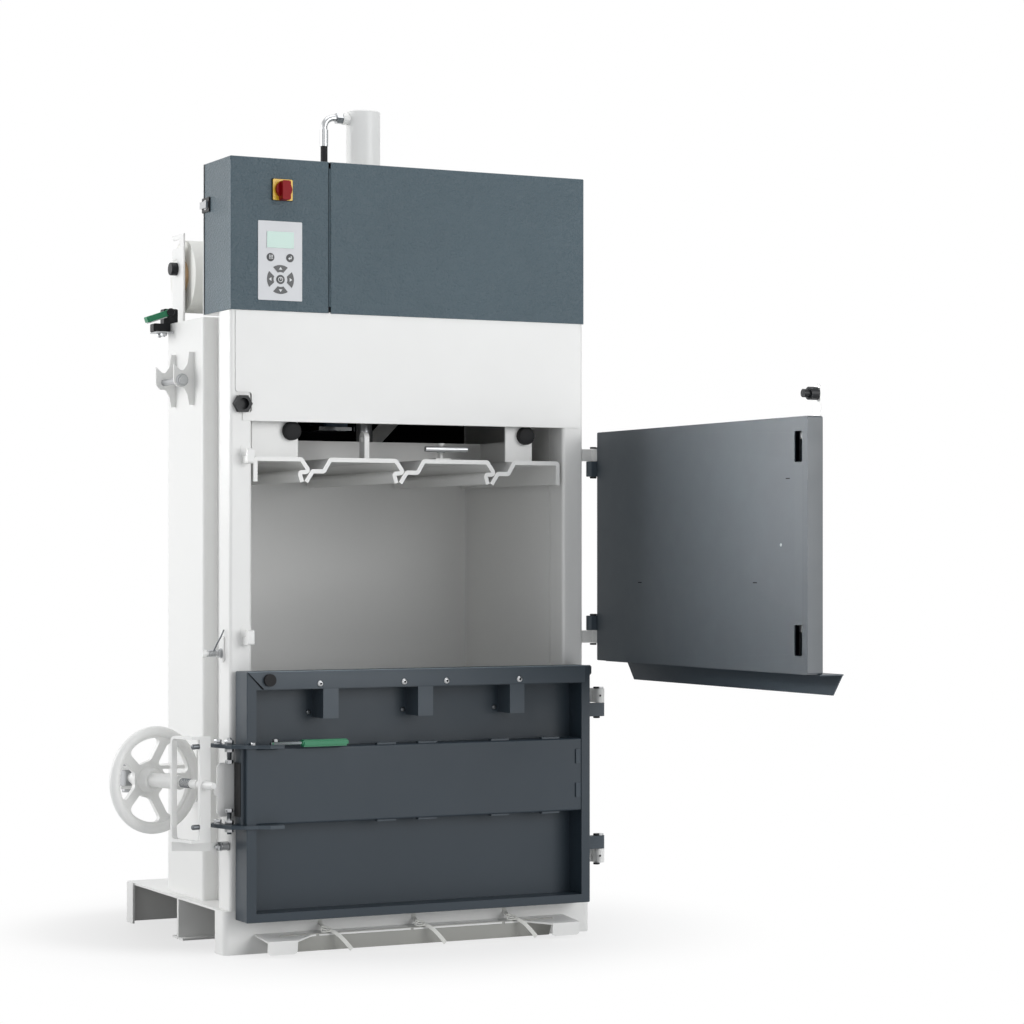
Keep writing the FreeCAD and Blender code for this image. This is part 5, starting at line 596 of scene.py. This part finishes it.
def lower_door():
    """Rail, screws, sleeve of the lock lever and tabs of the stiffener."""
    for index, x in enumerate(RAIL_SCREWS):
        screw("rail_screw_%d" % index, at(x, RAIL_FACE - RAIL_SCREW_PROUD, RAIL_SCREW_Z), FRONT,
              RAIL_SCREW_RADIUS, ZINC, "lower_door")
        # dark hexagon in each screw head: painted shade in its recess
        disc("rail_screw_recess_%d" % index, at(x, RAIL_FACE - RECESS_PROUD, RAIL_SCREW_Z), FRONT,
             RECESS_RADIUS, SHADE_THICK, SHADE, "lower_door", sides=6)
    # dark strip along the mitred end of the rail: painted shade in the gap
    plate("rail_gap", in_front(RAIL_FACE - GAP_PROUD, RAIL_GAP), FRONT, SHADE_THICK, SHADE, "lower_door")
    # pale lines along the rail's top and the left cover's front edge: painted highlights
    edge_line("rail_top_light", RAIL_LIGHT, "lower_door")
    edge_line("cover_edge_light", COVER_LIGHT, "control_cover")
    plate("lever_sleeve", in_level(SLEEVE_LOW, SLEEVE), UP, SLEEVE_HEIGHT, GREEN, "lock_lever",
          soft=SLEEVE_ROUND)
    for index, x in enumerate(BRACKETS):
        screw("bracket_screw_%d" % index, at(x - BRACKET_SCREW_LEFT, BRACKET_SCREW_DEPTH, BRACKET_SCREW_Z),
              FRONT, BRACKET_SCREW_RADIUS, STEEL, "lower_door")
    plate("rail_plate", in_front(RAIL_FACE + RAIL_PLATE_SUNK, RAIL_PLATE), FRONT, RAIL_PLATE_THICK, DARK,
          "lower_door", soft=RAIL_PLATE_ROUND)
    for index, x in enumerate(TABS):
        for tag, z, way in TAB_ROWS:
            corners = rect(x - TAB_HALF, TAB_FRONT, x + TAB_HALF, TAB_BACK)
            plate("stiffener_tab_%s_%d" % (tag, index), in_level(z, corners), way, TAB_HEIGHT, DARK,
                  "lower_door", soft=TAB_ROUND)
    for index, low in enumerate(END_LOWS):
        high = low + END_HEIGHT
        corners = [at(*END_NEAR, low), at(*END_NEAR, high), at(*END_FAR, high), at(*END_FAR, low)]
        plate("stiffener_end_%d" % index, corners, BACK, END_THICK, DARK, "lower_door", soft=END_ROUND)


# ------------------------------------------------------------------ hook arms and lock
ARMS = (("low", 296.0), ("high", 477.0))
ARM_HALF = 4
ARM_BOLT_X, ARM_BOLT_DEPTH = -466, -22
SECOND_BOLT_X, SECOND_BOLT_DEPTH = -484, 2
# each stud's way, height of its start, length, height of its nut, thickness of the nut
ARM_STUDS = (("high", DOWN, 464, 28, 446, 9), ("low", UP, 309, 26, 327, 8.5))
STUD_RADIUS, STUD_PITCH, STUD_NUT_FLATS = 5.6, 1.8, 16
LEVER_NUT = at(-380, -88, 487)
SMALL_NUT = at(-430, -80, 481)
BLADE = ((-386, -96.4), (-320, -96.4), (-320, -79.6), (-386, -79.6), (-392.4, -84), (-392.4, -92))
BLADE_LOW, BLADE_THICK, BLADE_ROUND = 481.2, 5.7, 0.6
SPINE = rect(-59, 318, -21.6, 440)
SPINE_X, SPINE_THICK, SPINE_ROUND = -452.4, 1.2, 0.4
LOCK_Z = 390
LOCK = at(-573, 175, LOCK_Z)          # where the spindle crosses the hub of the handwheel
SPINDLE_TURN = math.radians(16)
AHEAD = Vector((math.sin(SPINDLE_TURN), -math.cos(SPINDLE_TURN), 0))
ACROSS = Vector((math.cos(SPINDLE_TURN), math.sin(SPINDLE_TURN), 0))
YOKE_PIN = ((0, 5.8), (16, 5.8), (17.6, 5.0), (18.4, 3.6))
YOKE_PIN_AHEAD, YOKE_PIN_ACROSS = 190, -15.5
THREAD_AHEAD, HUB_NUT_AHEAD = 107.5, -59.5
FORK_PIN_AHEAD, FORK_PIN_HALF = -112, 27
STRIP_DEPTH, STRIP_Z = 12, 247
STRIP_BOLT = ((0, 4.5), (30, 4.5), (31.5, 3.5))


def on_spindle(ahead, across=0.0, up=0.0):
    """Point by the spindle: along it from the hub, across it, and up."""
    return LOCK + AHEAD * (ahead * MM) + ACROSS * (across * MM) + UP * (up * MM)


def hook_arms():
    """Nuts and studs of the two arms, and the blade of the lock lever."""
    for tag, z in ARMS:
        over = at(ARM_BOLT_X, ARM_BOLT_DEPTH, z + ARM_HALF)
        beneath = at(ARM_BOLT_X, ARM_BOLT_DEPTH, z - ARM_HALF)
        bolt("arm_nut_%s_top" % tag, over, UP, flats=18, height=9.5, body="lower_door", thread=6)
        bolt("arm_nut_%s_under" % tag, beneath, DOWN, flats=18, height=9.5, body="lower_door")
        second = at(SECOND_BOLT_X, SECOND_BOLT_DEPTH, z + ARM_HALF)
        bolt("arm_second_%s" % tag, second, UP, flats=15, height=8.5, body="lower_door", washer=9.5)
    for tag, way, z, length, nut_z, height in ARM_STUDS:
        threaded("arm_stud_" + tag, at(ARM_BOLT_X, ARM_BOLT_DEPTH, z), way, STUD_RADIUS, length, STUD_PITCH,
                 STEEL, "lower_door")
        bolt("arm_stud_nut_" + tag, at(ARM_BOLT_X, ARM_BOLT_DEPTH, nut_z), way, STUD_NUT_FLATS, height,
             "lower_door")
    bolt("lever_nut", LEVER_NUT, UP, flats=13, height=6, body="lower_door", thread=2)
    plate("lever_blade", in_level(BLADE_LOW, BLADE), UP, BLADE_THICK, STEEL, "lock_lever", soft=BLADE_ROUND)
    plate("arm_spine_cover", in_side(SPINE_X, SPINE), LEFT, SPINE_THICK, RUBBER, "lower_door",
          soft=SPINE_ROUND)
    bolt("arm_small_nut", SMALL_NUT, UP, flats=10.5, height=5.5, body="lower_door")


def lock():
    """Pins of the yoke, thread and nuts of the spindle, and the spring bolt of the guide plate."""
    for tag, z in ARMS:
        turned("yoke_pin_" + tag, on_spindle(YOKE_PIN_AHEAD, YOKE_PIN_ACROSS, z - LOCK_Z), -ACROSS, YOKE_PIN,
               STEEL, "lock_yoke", sides=28)
    threaded("spindle_thread", on_spindle(THREAD_AHEAD), AHEAD, radius=10.7, length=36.5, pitch=2.6,
             mat=STEEL, body="lock_yoke")
    bolt("hub_nut", on_spindle(HUB_NUT_AHEAD), AHEAD, flats=24, height=3.5, body="handwheel")
    for tag, way, lift in (("top", UP, FORK_PIN_HALF), ("low", DOWN, -FORK_PIN_HALF)):
        bolt("fork_pin_nut_" + tag, on_spindle(FORK_PIN_AHEAD, up=lift), way, flats=19, height=8,
             body="frame")
    disc("strip_washer", at(-455.2, STRIP_DEPTH, STRIP_Z), LEFT, 10.5, 1.8, ZINC, "frame", sides=32)
    turned("strip_bolt", at(-456, STRIP_DEPTH, STRIP_Z), LEFT, STRIP_BOLT, ZINC, "frame", sides=24)
    spring("strip_spring", at(-457.5, STRIP_DEPTH, STRIP_Z), LEFT, radius=8.2, wire=1.2, turns=5, length=14,
           mat=ZINC, body="frame")
    bolt("strip_nut", at(-472.5, STRIP_DEPTH, STRIP_Z), LEFT, flats=17, height=8, body="frame", washer=10.5)


# ------------------------------------------------------------------ left side fittings
REST_X, REST_Z = -470.0, 1320.0
REST_FRONT, REST_BACK = 274.6, 404.4
REST_SLEEVE_FRONT, REST_SLEEVE_RADIUS, REST_SLEEVE_LENGTH = 281, 7.8, 117
SHAFT_CAP = ((0, 15.7), (15.0, 15.7), (16.5, 14.8), (17.2, 12.0), (17.4, 5.0))
SHAFT_END, SHAFT_DEPTH, SHAFT_Z = 402.6, 500, 1604
TENSIONER_LOW = 1444
TENSIONER_BOLT_X = -462
TENSIONER_BOLTS = (424, 455)
FOOT = rect(-483, 412, -440.4, 463)
FOOT_THICK, FOOT_ROUND = 3.0, 0.6
BOSS = ((0, 9.8), (3.0, 9.8), (4.5, 8.0), (4.5, 4.0))
LEVER_PIVOT = at(-447, 417, 1491)
BOSS_SUNK = 0.2
LEVER_SLOPE = math.radians(19)
ALONG_LEVER = Vector((-math.cos(LEVER_SLOPE), 0, -math.sin(LEVER_SLOPE)))
UNDER_LEVER = Vector((math.sin(LEVER_SLOPE), 0, -math.cos(LEVER_SLOPE)))
LEVER_EDGE_START, LEVER_EDGE_DROP = 12, 7.2
LEVER_EDGE_LENGTH, LEVER_EDGE_THICK, LEVER_EDGE_WIDTH = 47, 2.2, 21
CATCH_DEPTH, CATCH_Z = 49, 684
CATCH_SPRING_X, CATCH_NUT_X, CATCH_WIRE_RADIUS = -470, -458.2, 1.8
CATCH_WIRE = ((-478, 44, 690), (-474, 36, 706), (-466, 30, 722), (-459, 30, 738))
LATCH_BLOCK = rect(127, 1701, 174, 1735)
LATCH_BLOCK_X, LATCH_BLOCK_THICK, LATCH_BLOCK_ROUND = -455.2, 3.4, 0.8
LINE_THICK = 0.3           # of the dark lines of painted shade in the gaps round the left cover
SEAM = rect(-213.6, 1466, -212.6, 1812.5)
SEAM_DEPTH = -0.1
REAR_GAP = rect(163.5, 1467, 167, 1814)
REAR_GAP_X = -455.1


def left_side():
    """Bale rest, caps of the roll shaft, tensioner, spring catch and painted shade in the gaps at the edges
    of the left cover.
    """
    disc("rest_sleeve", at(REST_X, REST_SLEEVE_FRONT, REST_Z), BACK, REST_SLEEVE_RADIUS,
         REST_SLEEVE_LENGTH, ZINC, "frame", sides=32)
    bolt("rest_nut_front", at(REST_X, REST_FRONT, REST_Z), FRONT, flats=21, height=9, body="frame", washer=15)
    bolt("rest_nut_back", at(REST_X, REST_BACK, REST_Z), BACK, flats=21, height=9, body="frame", washer=15)
    for side, x, way in (("left", -SHAFT_END, LEFT), ("right", SHAFT_END, RIGHT)):
        turned("shaft_cap_" + side, at(x, SHAFT_DEPTH, SHAFT_Z), way, SHAFT_CAP, BLACK, "frame", sides=40)
    for index, depth in enumerate(TENSIONER_BOLTS):
        bolt("tensioner_bolt_%d" % index, at(TENSIONER_BOLT_X, depth, TENSIONER_LOW), DOWN, flats=13,
             height=8, body="frame", washer=9, thread=3)
    plate("tensioner_foot", in_level(TENSIONER_LOW, FOOT), DOWN, FOOT_THICK, ZINC, "frame", soft=FOOT_ROUND)
    start = LEVER_PIVOT + (ALONG_LEVER * LEVER_EDGE_START + UNDER_LEVER * LEVER_EDGE_DROP) * MM
    end = start + ALONG_LEVER * (LEVER_EDGE_LENGTH * MM)
    drop = UNDER_LEVER * (LEVER_EDGE_THICK * MM)
    plate("lever_edge", [start, end, end + drop, start + drop], BACK, LEVER_EDGE_WIDTH, ZINC,
          "tensioner_lever", soft=0.5)
    turned("tensioner_boss", LEVER_PIVOT + BACK * (BOSS_SUNK * MM), FRONT, BOSS, BLACK, "frame", sides=36)
    spring("catch_spring", at(CATCH_SPRING_X, CATCH_DEPTH, CATCH_Z), LEFT, radius=7.5, wire=1.1, turns=6,
           length=22, mat=ZINC, body="frame")
    tube("catch_wire", [at(*point) for point in CATCH_WIRE], CATCH_WIRE_RADIUS, STEEL, "frame", sides=16)
    bolt("catch_nut", at(CATCH_NUT_X, CATCH_DEPTH, CATCH_Z), LEFT, flats=17, height=7, body="frame",
         washer=11.5)
    plate("latch_block", in_side(LATCH_BLOCK_X, LATCH_BLOCK), LEFT, LATCH_BLOCK_THICK, BLACK,
          "control_cover", soft=LATCH_BLOCK_ROUND)
    # dark strips in the seam and the rear gap of the left cover: painted shade
    plate("seam_strip", in_front(SEAM_DEPTH, SEAM), FRONT, LINE_THICK, SHADE, "control_cover")
    plate("cover_rear_gap", in_side(REAR_GAP_X, REAR_GAP), LEFT, LINE_THICK, SHADE, "control_cover")


# ------------------------------------------------------------------ head space and platen
BUFFERS = (("left", -291.9), ("right", 312.9))
BUFFER_RIBS = ((0, 21.4), (3.5, 21.4), (4.5, 20.5), (5.5, 21.4), (8.5, 21.4), (9.5, 20.5), (10.5, 21.4),
               (13.0, 21.4), (15.5, 19.5), (17.2, 15.0), (17.6, 6.0))
BUFFER_DEPTH, BUFFER_Z = 38, 1194
# black sheets at the back, top and sides of the head: painted shade for its dark inside
HEAD_SHADE_THICK = 1.2
HEAD_SHADE_BACK_DEPTH, HEAD_SHADE_TOP_Z = 543.5, 1446.8
HEAD_SHADE_BACK = ((-396, 1160), (-396, 1447), (396, 1447), (396, 1160))
HEAD_SHADE_TOP = ((-399, 80), (-399, 543), (399, 543), (399, 80))
HEAD_SHADE_SIDE = rect(170, 1250, 543, 1446)
HEAD_SHADE_SIDE_X = 400.6
BRACE = ((60, 1170), (112, 1170), (230, 1290), (178, 1290))
BRACE_DEPTH, BRACE_THICK, BRACE_ROUND = 470, 5.0, 1.0
SWITCH_BOX = rect(-36, 1225, 26, 1262)
SWITCH_BOX_FRONT, SWITCH_BOX_DEEP, SWITCH_BOX_ROUND = 440, 103, 2.0
SWITCH_RAIL = rect(-60, 1216, 28, 1225)
SWITCH_RAIL_FRONT, SWITCH_RAIL_DEEP, SWITCH_RAIL_ROUND = 420, 123, 0.8
EDGE_FACE = 0.3            # how far from the foremost point a vertex still lies on the front edge
EDGE_GROWTH = 3.0
EDGE_CORNER = 3.8
EDGE_PROUD = 0.8
EDGE_DEEP = 5.0
EDGE_MERGE = 0.002
LEAST_OUT = 0.5


def outward(vert):
    """Sum of the directions in which the edges of the outline at a vertex face out of it."""
    out = Vector((0, 0, 0))
    for edge in vert.link_edges:
        if edge.is_boundary:
            run = (edge.other_vert(vert).co - vert.co).normalized()
            way = run.cross(edge.link_faces[0].normal)
            inside = edge.link_faces[0].calc_center_median() - vert.co
            out += -way if way.dot(inside) > 0 else way
    return out


def platen_edge():
    """Thicker front edge along the folded sections of the platen."""
    platen = bpy.data.objects["platen"]
    band = bmesh.new()
    band.from_mesh(platen.data)
    band.transform(platen.matrix_world)
    face_y = min(v.co.y for v in band.verts) + EDGE_FACE * MM
    behind = [f for f in band.faces if any(v.co.y > face_y for v in f.verts)]
    bmesh.ops.delete(band, geom=behind, context="FACES")
    bmesh.ops.remove_doubles(band, verts=band.verts, dist=EDGE_MERGE * MM)
    moves = {}
    for vert in band.verts:
        out = outward(vert)
        moves[vert] = out.normalized() * (min(EDGE_GROWTH, EDGE_CORNER / max(out.length, LEAST_OUT)) * MM)
    for vert, move in moves.items():
        vert.co += move + FRONT * (EDGE_PROUD * MM)
    thicken(band, band.faces[:], BACK * (EDGE_DEEP * MM))
    make("platen_edge", band, WHITE, "platen")


def head_space():
    """Ribbed buffers, black sheets of painted shade inside the head, its brace and the travel switch of the
    platen.
    """
    for side, x in BUFFERS:
        turned("buffer_ribs_" + side, at(x, BUFFER_DEPTH, BUFFER_Z), FRONT, BUFFER_RIBS, RUBBER, "platen")
    # painted shade: black sheets inside the head
    plate("head_shade_back", in_front(HEAD_SHADE_BACK_DEPTH, HEAD_SHADE_BACK), FRONT, HEAD_SHADE_THICK, SHADE, "frame")
    plate("head_shade_top", in_level(HEAD_SHADE_TOP_Z, HEAD_SHADE_TOP), DOWN, HEAD_SHADE_THICK, SHADE, "frame")
    for index, x, way in ((0, -HEAD_SHADE_SIDE_X, RIGHT), (2, HEAD_SHADE_SIDE_X, LEFT)):
        plate("head_liner_side_%d" % index, in_side(x, HEAD_SHADE_SIDE), way, HEAD_SHADE_THICK, SHADE, "frame")
    plate("head_brace", in_front(BRACE_DEPTH, BRACE), BACK, BRACE_THICK, WHITE, "frame", soft=BRACE_ROUND)
    plate("travel_switch", in_front(SWITCH_BOX_FRONT, SWITCH_BOX), BACK, SWITCH_BOX_DEEP, MOTOR, "frame",
          soft=SWITCH_BOX_ROUND)
    plate("travel_switch_rail", in_front(SWITCH_RAIL_FRONT, SWITCH_RAIL), BACK, SWITCH_RAIL_DEEP, ZINC,
          "frame", soft=SWITCH_RAIL_ROUND)
    platen_edge()


# ------------------------------------------------------------------ upper door and hinges
DOOR_MARKS = ((-879, 1071), (-236, 843), (-746, 847))
MARK_HALF, MARK_HEIGHT, MARK_THICK, MARK_X = 8, 2, 0.4, 476.9
DOOR_DOT = at(477.1, -851, 930)
DOT_DOME = ((0, 3.5), (0.6, 3.0), (0.8, 1.8))
HINGE_DOT_X, HINGE_DOT_DEPTH, HINGE_DOT_RADIUS, HINGE_DOT_THICK = 487, -23, 2.6, 0.5
FIXED_HINGES = ((552, 586), (166, 200))
UPPER_HINGES = ((1097, 1134), (727, 762))
HINGE_BLOCK = ((459, -3), (459, -19), (463, -23), (485, -23), (485, -3))
UPPER_PIN_X, LOWER_PIN_X, PIN_DEPTH = 474, 483, -12
HINGE_CAPS = ((UPPER_PIN_X, 1164.2, UP, "upper_door"), (UPPER_PIN_X, 1097, DOWN, "upper_door"),
              (UPPER_PIN_X, 762, UP, "upper_door"), (UPPER_PIN_X, 695.8, DOWN, "upper_door"),
              (LOWER_PIN_X, 586, UP, "frame"), (LOWER_PIN_X, 519, DOWN, "lower_door"),
              (LOWER_PIN_X, 232, UP, "lower_door"), (LOWER_PIN_X, 166, DOWN, "frame"))
CAP = ((0, 7.4), (0.6, 8.2), (3.4, 8.2), (4.4, 7.0))
HINGE_BLOCK_ROUND = 1.0
CORNER = ((-70, 645), (-58, 645), (-58, 618), (-70, 624))
CORNER_X, CORNER_THICK, CORNER_ROUND = 433, 6.0, 2.5


def doors():
    """Marks on the upper door, and blocks and caps of the hinges."""
    for index, (depth, z) in enumerate(DOOR_MARKS):
        corners = rect(depth - MARK_HALF, z, depth + MARK_HALF, z + MARK_HEIGHT)
        plate("door_mark_%d" % index, in_side(MARK_X, corners), LEFT, MARK_THICK, SHADE, "upper_door")
    turned("door_dot", DOOR_DOT, LEFT, DOT_DOME, ZINC, "upper_door", sides=20)
    for index, (low, high) in enumerate(FIXED_HINGES):
        disc("hinge_dot_%d" % index, at(HINGE_DOT_X, HINGE_DOT_DEPTH, (low + high) / 2), FRONT,
             HINGE_DOT_RADIUS, HINGE_DOT_THICK, RUBBER, "frame", sides=16)
    for index, (low, high) in enumerate(UPPER_HINGES):
        plate("upper_hinge_block_%d" % index, in_level(low, HINGE_BLOCK), UP, high - low, DARK, "upper_door",
              soft=HINGE_BLOCK_ROUND)
    for index, (x, z, way, body) in enumerate(HINGE_CAPS):
        turned("hinge_cap_%d" % index, at(x, PIN_DEPTH, z), way, CAP, BLACK, body, sides=32)
    plate("lower_door_corner", in_side(CORNER_X, CORNER), RIGHT, CORNER_THICK, DARK, "lower_door",
          soft=CORNER_ROUND)


# ------------------------------------------------------------------ straps on the shelf
TAIL_X = (-235.0, 2.5, 240.0)
TAIL_PATH = ((-5, 40, 107), (-5, -0.5, 107), (-5, -0.5, 62), (-5, -22, 52), (-4, -42, 48.5), (6, -50, 46),
             (20, -57, 36), (34, -63, 20), (47, -68, 3))
KNOT_TURNS = ((8.5, 6.0, 0.35), (7.0, 9.0, -0.5))      # radius, height over the shelf, lean in radians
KNOT_LEFT, KNOT_DEPTH, KNOT_STEP = 3, -42, 4
KNOT_SHELF = 45
KNOT_STEPS = 16
KNOT_WIDE, KNOT_DEEP, KNOT_HIGH = 1.5, 0.7, 0.55       # shares of its radius
KNOT_STRAND = 1.6
TAIL_WIDTH, TAIL_THICK, TAIL_BEND = 10, 1.1, 6
LIP_PROFILE = ((-40, 44), (-37, 44), (-16, 1), (-19, 1))
LIP_HALF, LIP_ROUND = 350, 0.6


def strap_ends():
    """Knots and loose tails of the three straps, and the leaning lip of the shelf, its white paint darkened
    as painted shade.
    """
    for index, (side, x) in enumerate(zip(SIDES, TAIL_X)):
        for turn, (r, lift, lean) in enumerate(KNOT_TURNS):
            angles = [2 * math.pi * i / KNOT_STEPS for i in range(KNOT_STEPS + 1)]
            points = [at(x - KNOT_LEFT + r * KNOT_WIDE * math.cos(a),
                         KNOT_DEPTH + r * KNOT_DEEP * math.sin(a) + turn * KNOT_STEP,
                         KNOT_SHELF + lift + r * KNOT_HIGH * math.sin(a + lean)) for a in angles]
            tube("strap_knot_%d_%d" % (index, turn), points, KNOT_STRAND, STRAP, "frame", sides=10)
        tail = [at(x + across, depth, z) for across, depth, z in TAIL_PATH]
        ribbon("strap_tail_%s_loose" % side, tail, TAIL_WIDTH, TAIL_THICK, TAIL_BEND, STRAP, "frame",
               "strap_tail_" + side)
    # lip in grey painted shade
    plate("shelf_lip", in_side(-LIP_HALF, LIP_PROFILE), RIGHT, 2 * LIP_HALF, SHADED_LIP, "frame", soft=LIP_ROUND)


# ------------------------------------------------------------------ roll cores
CORE_PROFILE = ((-3.9, 38.4), (5.8, 38.4), (6.4, 37.6), (6.4, 29.7), (5.8, 29.1), (0.0, 29.1))
CORE_SIDES = 64


def roll_cores():
    """Board tube at both ends of each strap roll."""
    spokes = [Vector((0, math.cos(a), math.sin(a))) for a in circle(CORE_SIDES)]
    for side in SIDES:
        low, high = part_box("strap_roll_" + side)
        centre = roll_centre(side)
        for end, x, way in (("a", low.x, LEFT), ("b", high.x, RIGHT)):
            bm = bmesh.new()
            middle = Vector((x, centre.y, centre.z))
            loft(bm, rings(bm, middle, way, spokes, CORE_PROFILE), closed=False)
            make("roll_core_%s_%s" % (side, end), bm, BOARD, "strap_roll_" + side)


control_panel()
lower_door()
hook_arms()
lock()
left_side()
head_space()
doors()
strap_ends()
roll_cores()

# ------------------------------------------------------------------ studio, in metres
FLOOR_HALF = 30
FLOOR_Z = -0.0005
FLOOR_ROUGHNESS = 0.6
FADE_FROM, FADE_TO = 0.45, 1.05       # where the floor turns from soft grey to white
FADE_GREY = 0.72
PAINTED_SHADOW_CENTRE = (-0.40, 0.20, 0.0)      # middle of the painted shadow, a darker patch of floor under the base
PAINTED_SHADOW_FROM, PAINTED_SHADOW_TO = 0.30, 0.55       # its radius, and where it has faded into the floor
PAINTED_SHADOW_COLOR, FLOOR_COLOR = 0.10, 0.74
FILL_COLOR = (0.93, 0.96, 1.0, 1)
FILL_STRENGTH = 0.40


def blended(tree, share, one, two, output):
    """Mix of two shaders, fed to an output node."""
    blend = add(tree, "MixShader")
    tree.links.new(share, blend.inputs["Fac"])
    tree.links.new(one, blend.inputs[1])
    tree.links.new(two, blend.inputs[2])
    tree.links.new(blend.outputs["Shader"], tree.nodes[output].inputs["Surface"])


def far_from(tree, coords, operation, centre=(0.0, 0.0, 0.0)):
    """Distance of a point of the floor from its middle or from a place."""
    away = add(tree, "VectorMath", operation=operation)
    tree.links.new(coords, away.inputs[0])
    away.inputs[1].default_value = centre
    return away.outputs["Value"]


def studio_floor():
    """Pale floor, a little darker under the machine by a painted shadow, and white further out."""
    mat = bpy.data.materials.new("studio_floor")
    mat.use_nodes = True
    tree = mat.node_tree
    bsdf = tree.nodes["Principled BSDF"]
    bsdf.inputs["Roughness"].default_value = FLOOR_ROUGHNESS
    coords = add(tree, "TexCoord").outputs["Object"]
    path = add(tree, "LightPath")
    seen = compute(tree, "MAXIMUM", path.outputs["Is Camera Ray"], path.outputs["Is Glossy Ray"])
    fade = ranged(tree, far_from(tree, coords, "LENGTH"), FADE_GREY, 1.0, interpolation_type="SMOOTHSTEP",
                  From_Min=FADE_FROM, From_Max=FADE_TO)
    # painted shadow: floor colour darkened near the base
    painted_shadow = ranged(tree, far_from(tree, coords, "DISTANCE", PAINTED_SHADOW_CENTRE), PAINTED_SHADOW_COLOR, FLOOR_COLOR,
                  interpolation_type="SMOOTHSTEP", From_Min=PAINTED_SHADOW_FROM, From_Max=PAINTED_SHADOW_TO)
    tree.links.new(painted_shadow, bsdf.inputs["Base Color"])
    glow = add(tree, "Emission")
    blended(tree, compute(tree, "MULTIPLY", seen, fade), bsdf.outputs["BSDF"], glow.outputs["Emission"],
            "Material Output")
    bm = bmesh.new()
    bmesh.ops.create_grid(bm, x_segments=1, y_segments=1, size=FLOOR_HALF)
    mesh = bpy.data.meshes.new("studio_floor")
    bm.to_mesh(mesh)
    bm.free()
    mesh.materials.append(mat)
    floor = bpy.data.objects.new("studio_floor", mesh)
    floor.location.z = FLOOR_Z
    bpy.context.scene.collection.objects.link(floor)


def studio_world():
    """Soft bluish fill, white where the camera or a reflection looks at it."""
    world = bpy.data.worlds.new("studio_world")
    bpy.context.scene.world = world
    world.use_nodes = True
    tree = world.node_tree
    fill = tree.nodes["Background"]
    fill.inputs["Color"].default_value = FILL_COLOR
    fill.inputs["Strength"].default_value = FILL_STRENGTH
    white = add(tree, "Background", Color=(1, 1, 1, 1), Strength=1.0)
    path = add(tree, "LightPath")
    straight = compute(tree, "MAXIMUM", path.outputs["Is Camera Ray"], path.outputs["Is Transmission Ray"])
    seen = compute(tree, "MAXIMUM", straight, path.outputs["Is Glossy Ray"])
    blended(tree, seen, fill.outputs["Background"], white.outputs["Background"], "World Output")


def lamp(name, place, target, size, power, spread=180):
    """Area lamp at a place, turned to a target: size in metres, power in watts, spread in degrees."""
    data = bpy.data.lights.new(name, "AREA")
    data.spread = math.radians(spread)
    data.shape = "RECTANGLE"
    data.size, data.size_y = size
    data.energy = power
    light = bpy.data.objects.new(name, data)
    light.location = place
    light.rotation_euler = (Vector(target) - Vector(place)).to_track_quat("-Z", "Y").to_euler()
    bpy.context.scene.collection.objects.link(light)


studio_floor()
studio_world()
lamp("left", (-3.7, 1.9, 2.1), (-0.3, -0.1, 0.9), size=(3.2, 3.0), power=108)
lamp("fill", (-3.6, -4.6, 1.8), (-0.4, -0.3, 0.8), size=(2.4, 2.4), power=16)
lamp("front", (2.2, -5.2, 1.9), (0.0, 0.0, 0.8), size=(3.0, 2.8), power=124)
lamp("door", (-2.5, 0.10, 1.70), (0.48, -1.20, 1.15), size=(0.5, 0.5), power=2.2, spread=24)
lamp("top", (0.0, -0.2, 4.6), (0.0, 0.0, 1.0), size=(3.0, 3.0), power=55)

# ------------------------------------------------------------------ camera
CAMERA_PLACE = (-2.7468, -6.260, 0.9106)
CAMERA_TURN = math.radians(-26.8)
SENSOR = 36
LENS = 98.4375
SHIFT_Y = 0.041
CLIP_END = 200

data = bpy.data.cameras.new("camera")
data.sensor_width = SENSOR
data.lens = LENS
data.shift_y = SHIFT_Y
data.clip_end = CLIP_END
camera = bpy.data.objects.new("camera", data)
camera.location = CAMERA_PLACE
camera.rotation_euler = (math.radians(90), 0, CAMERA_TURN)
bpy.context.scene.collection.objects.link(camera)
bpy.context.scene.camera = camera
bpy.context.scene.view_settings.view_transform = "Standard"
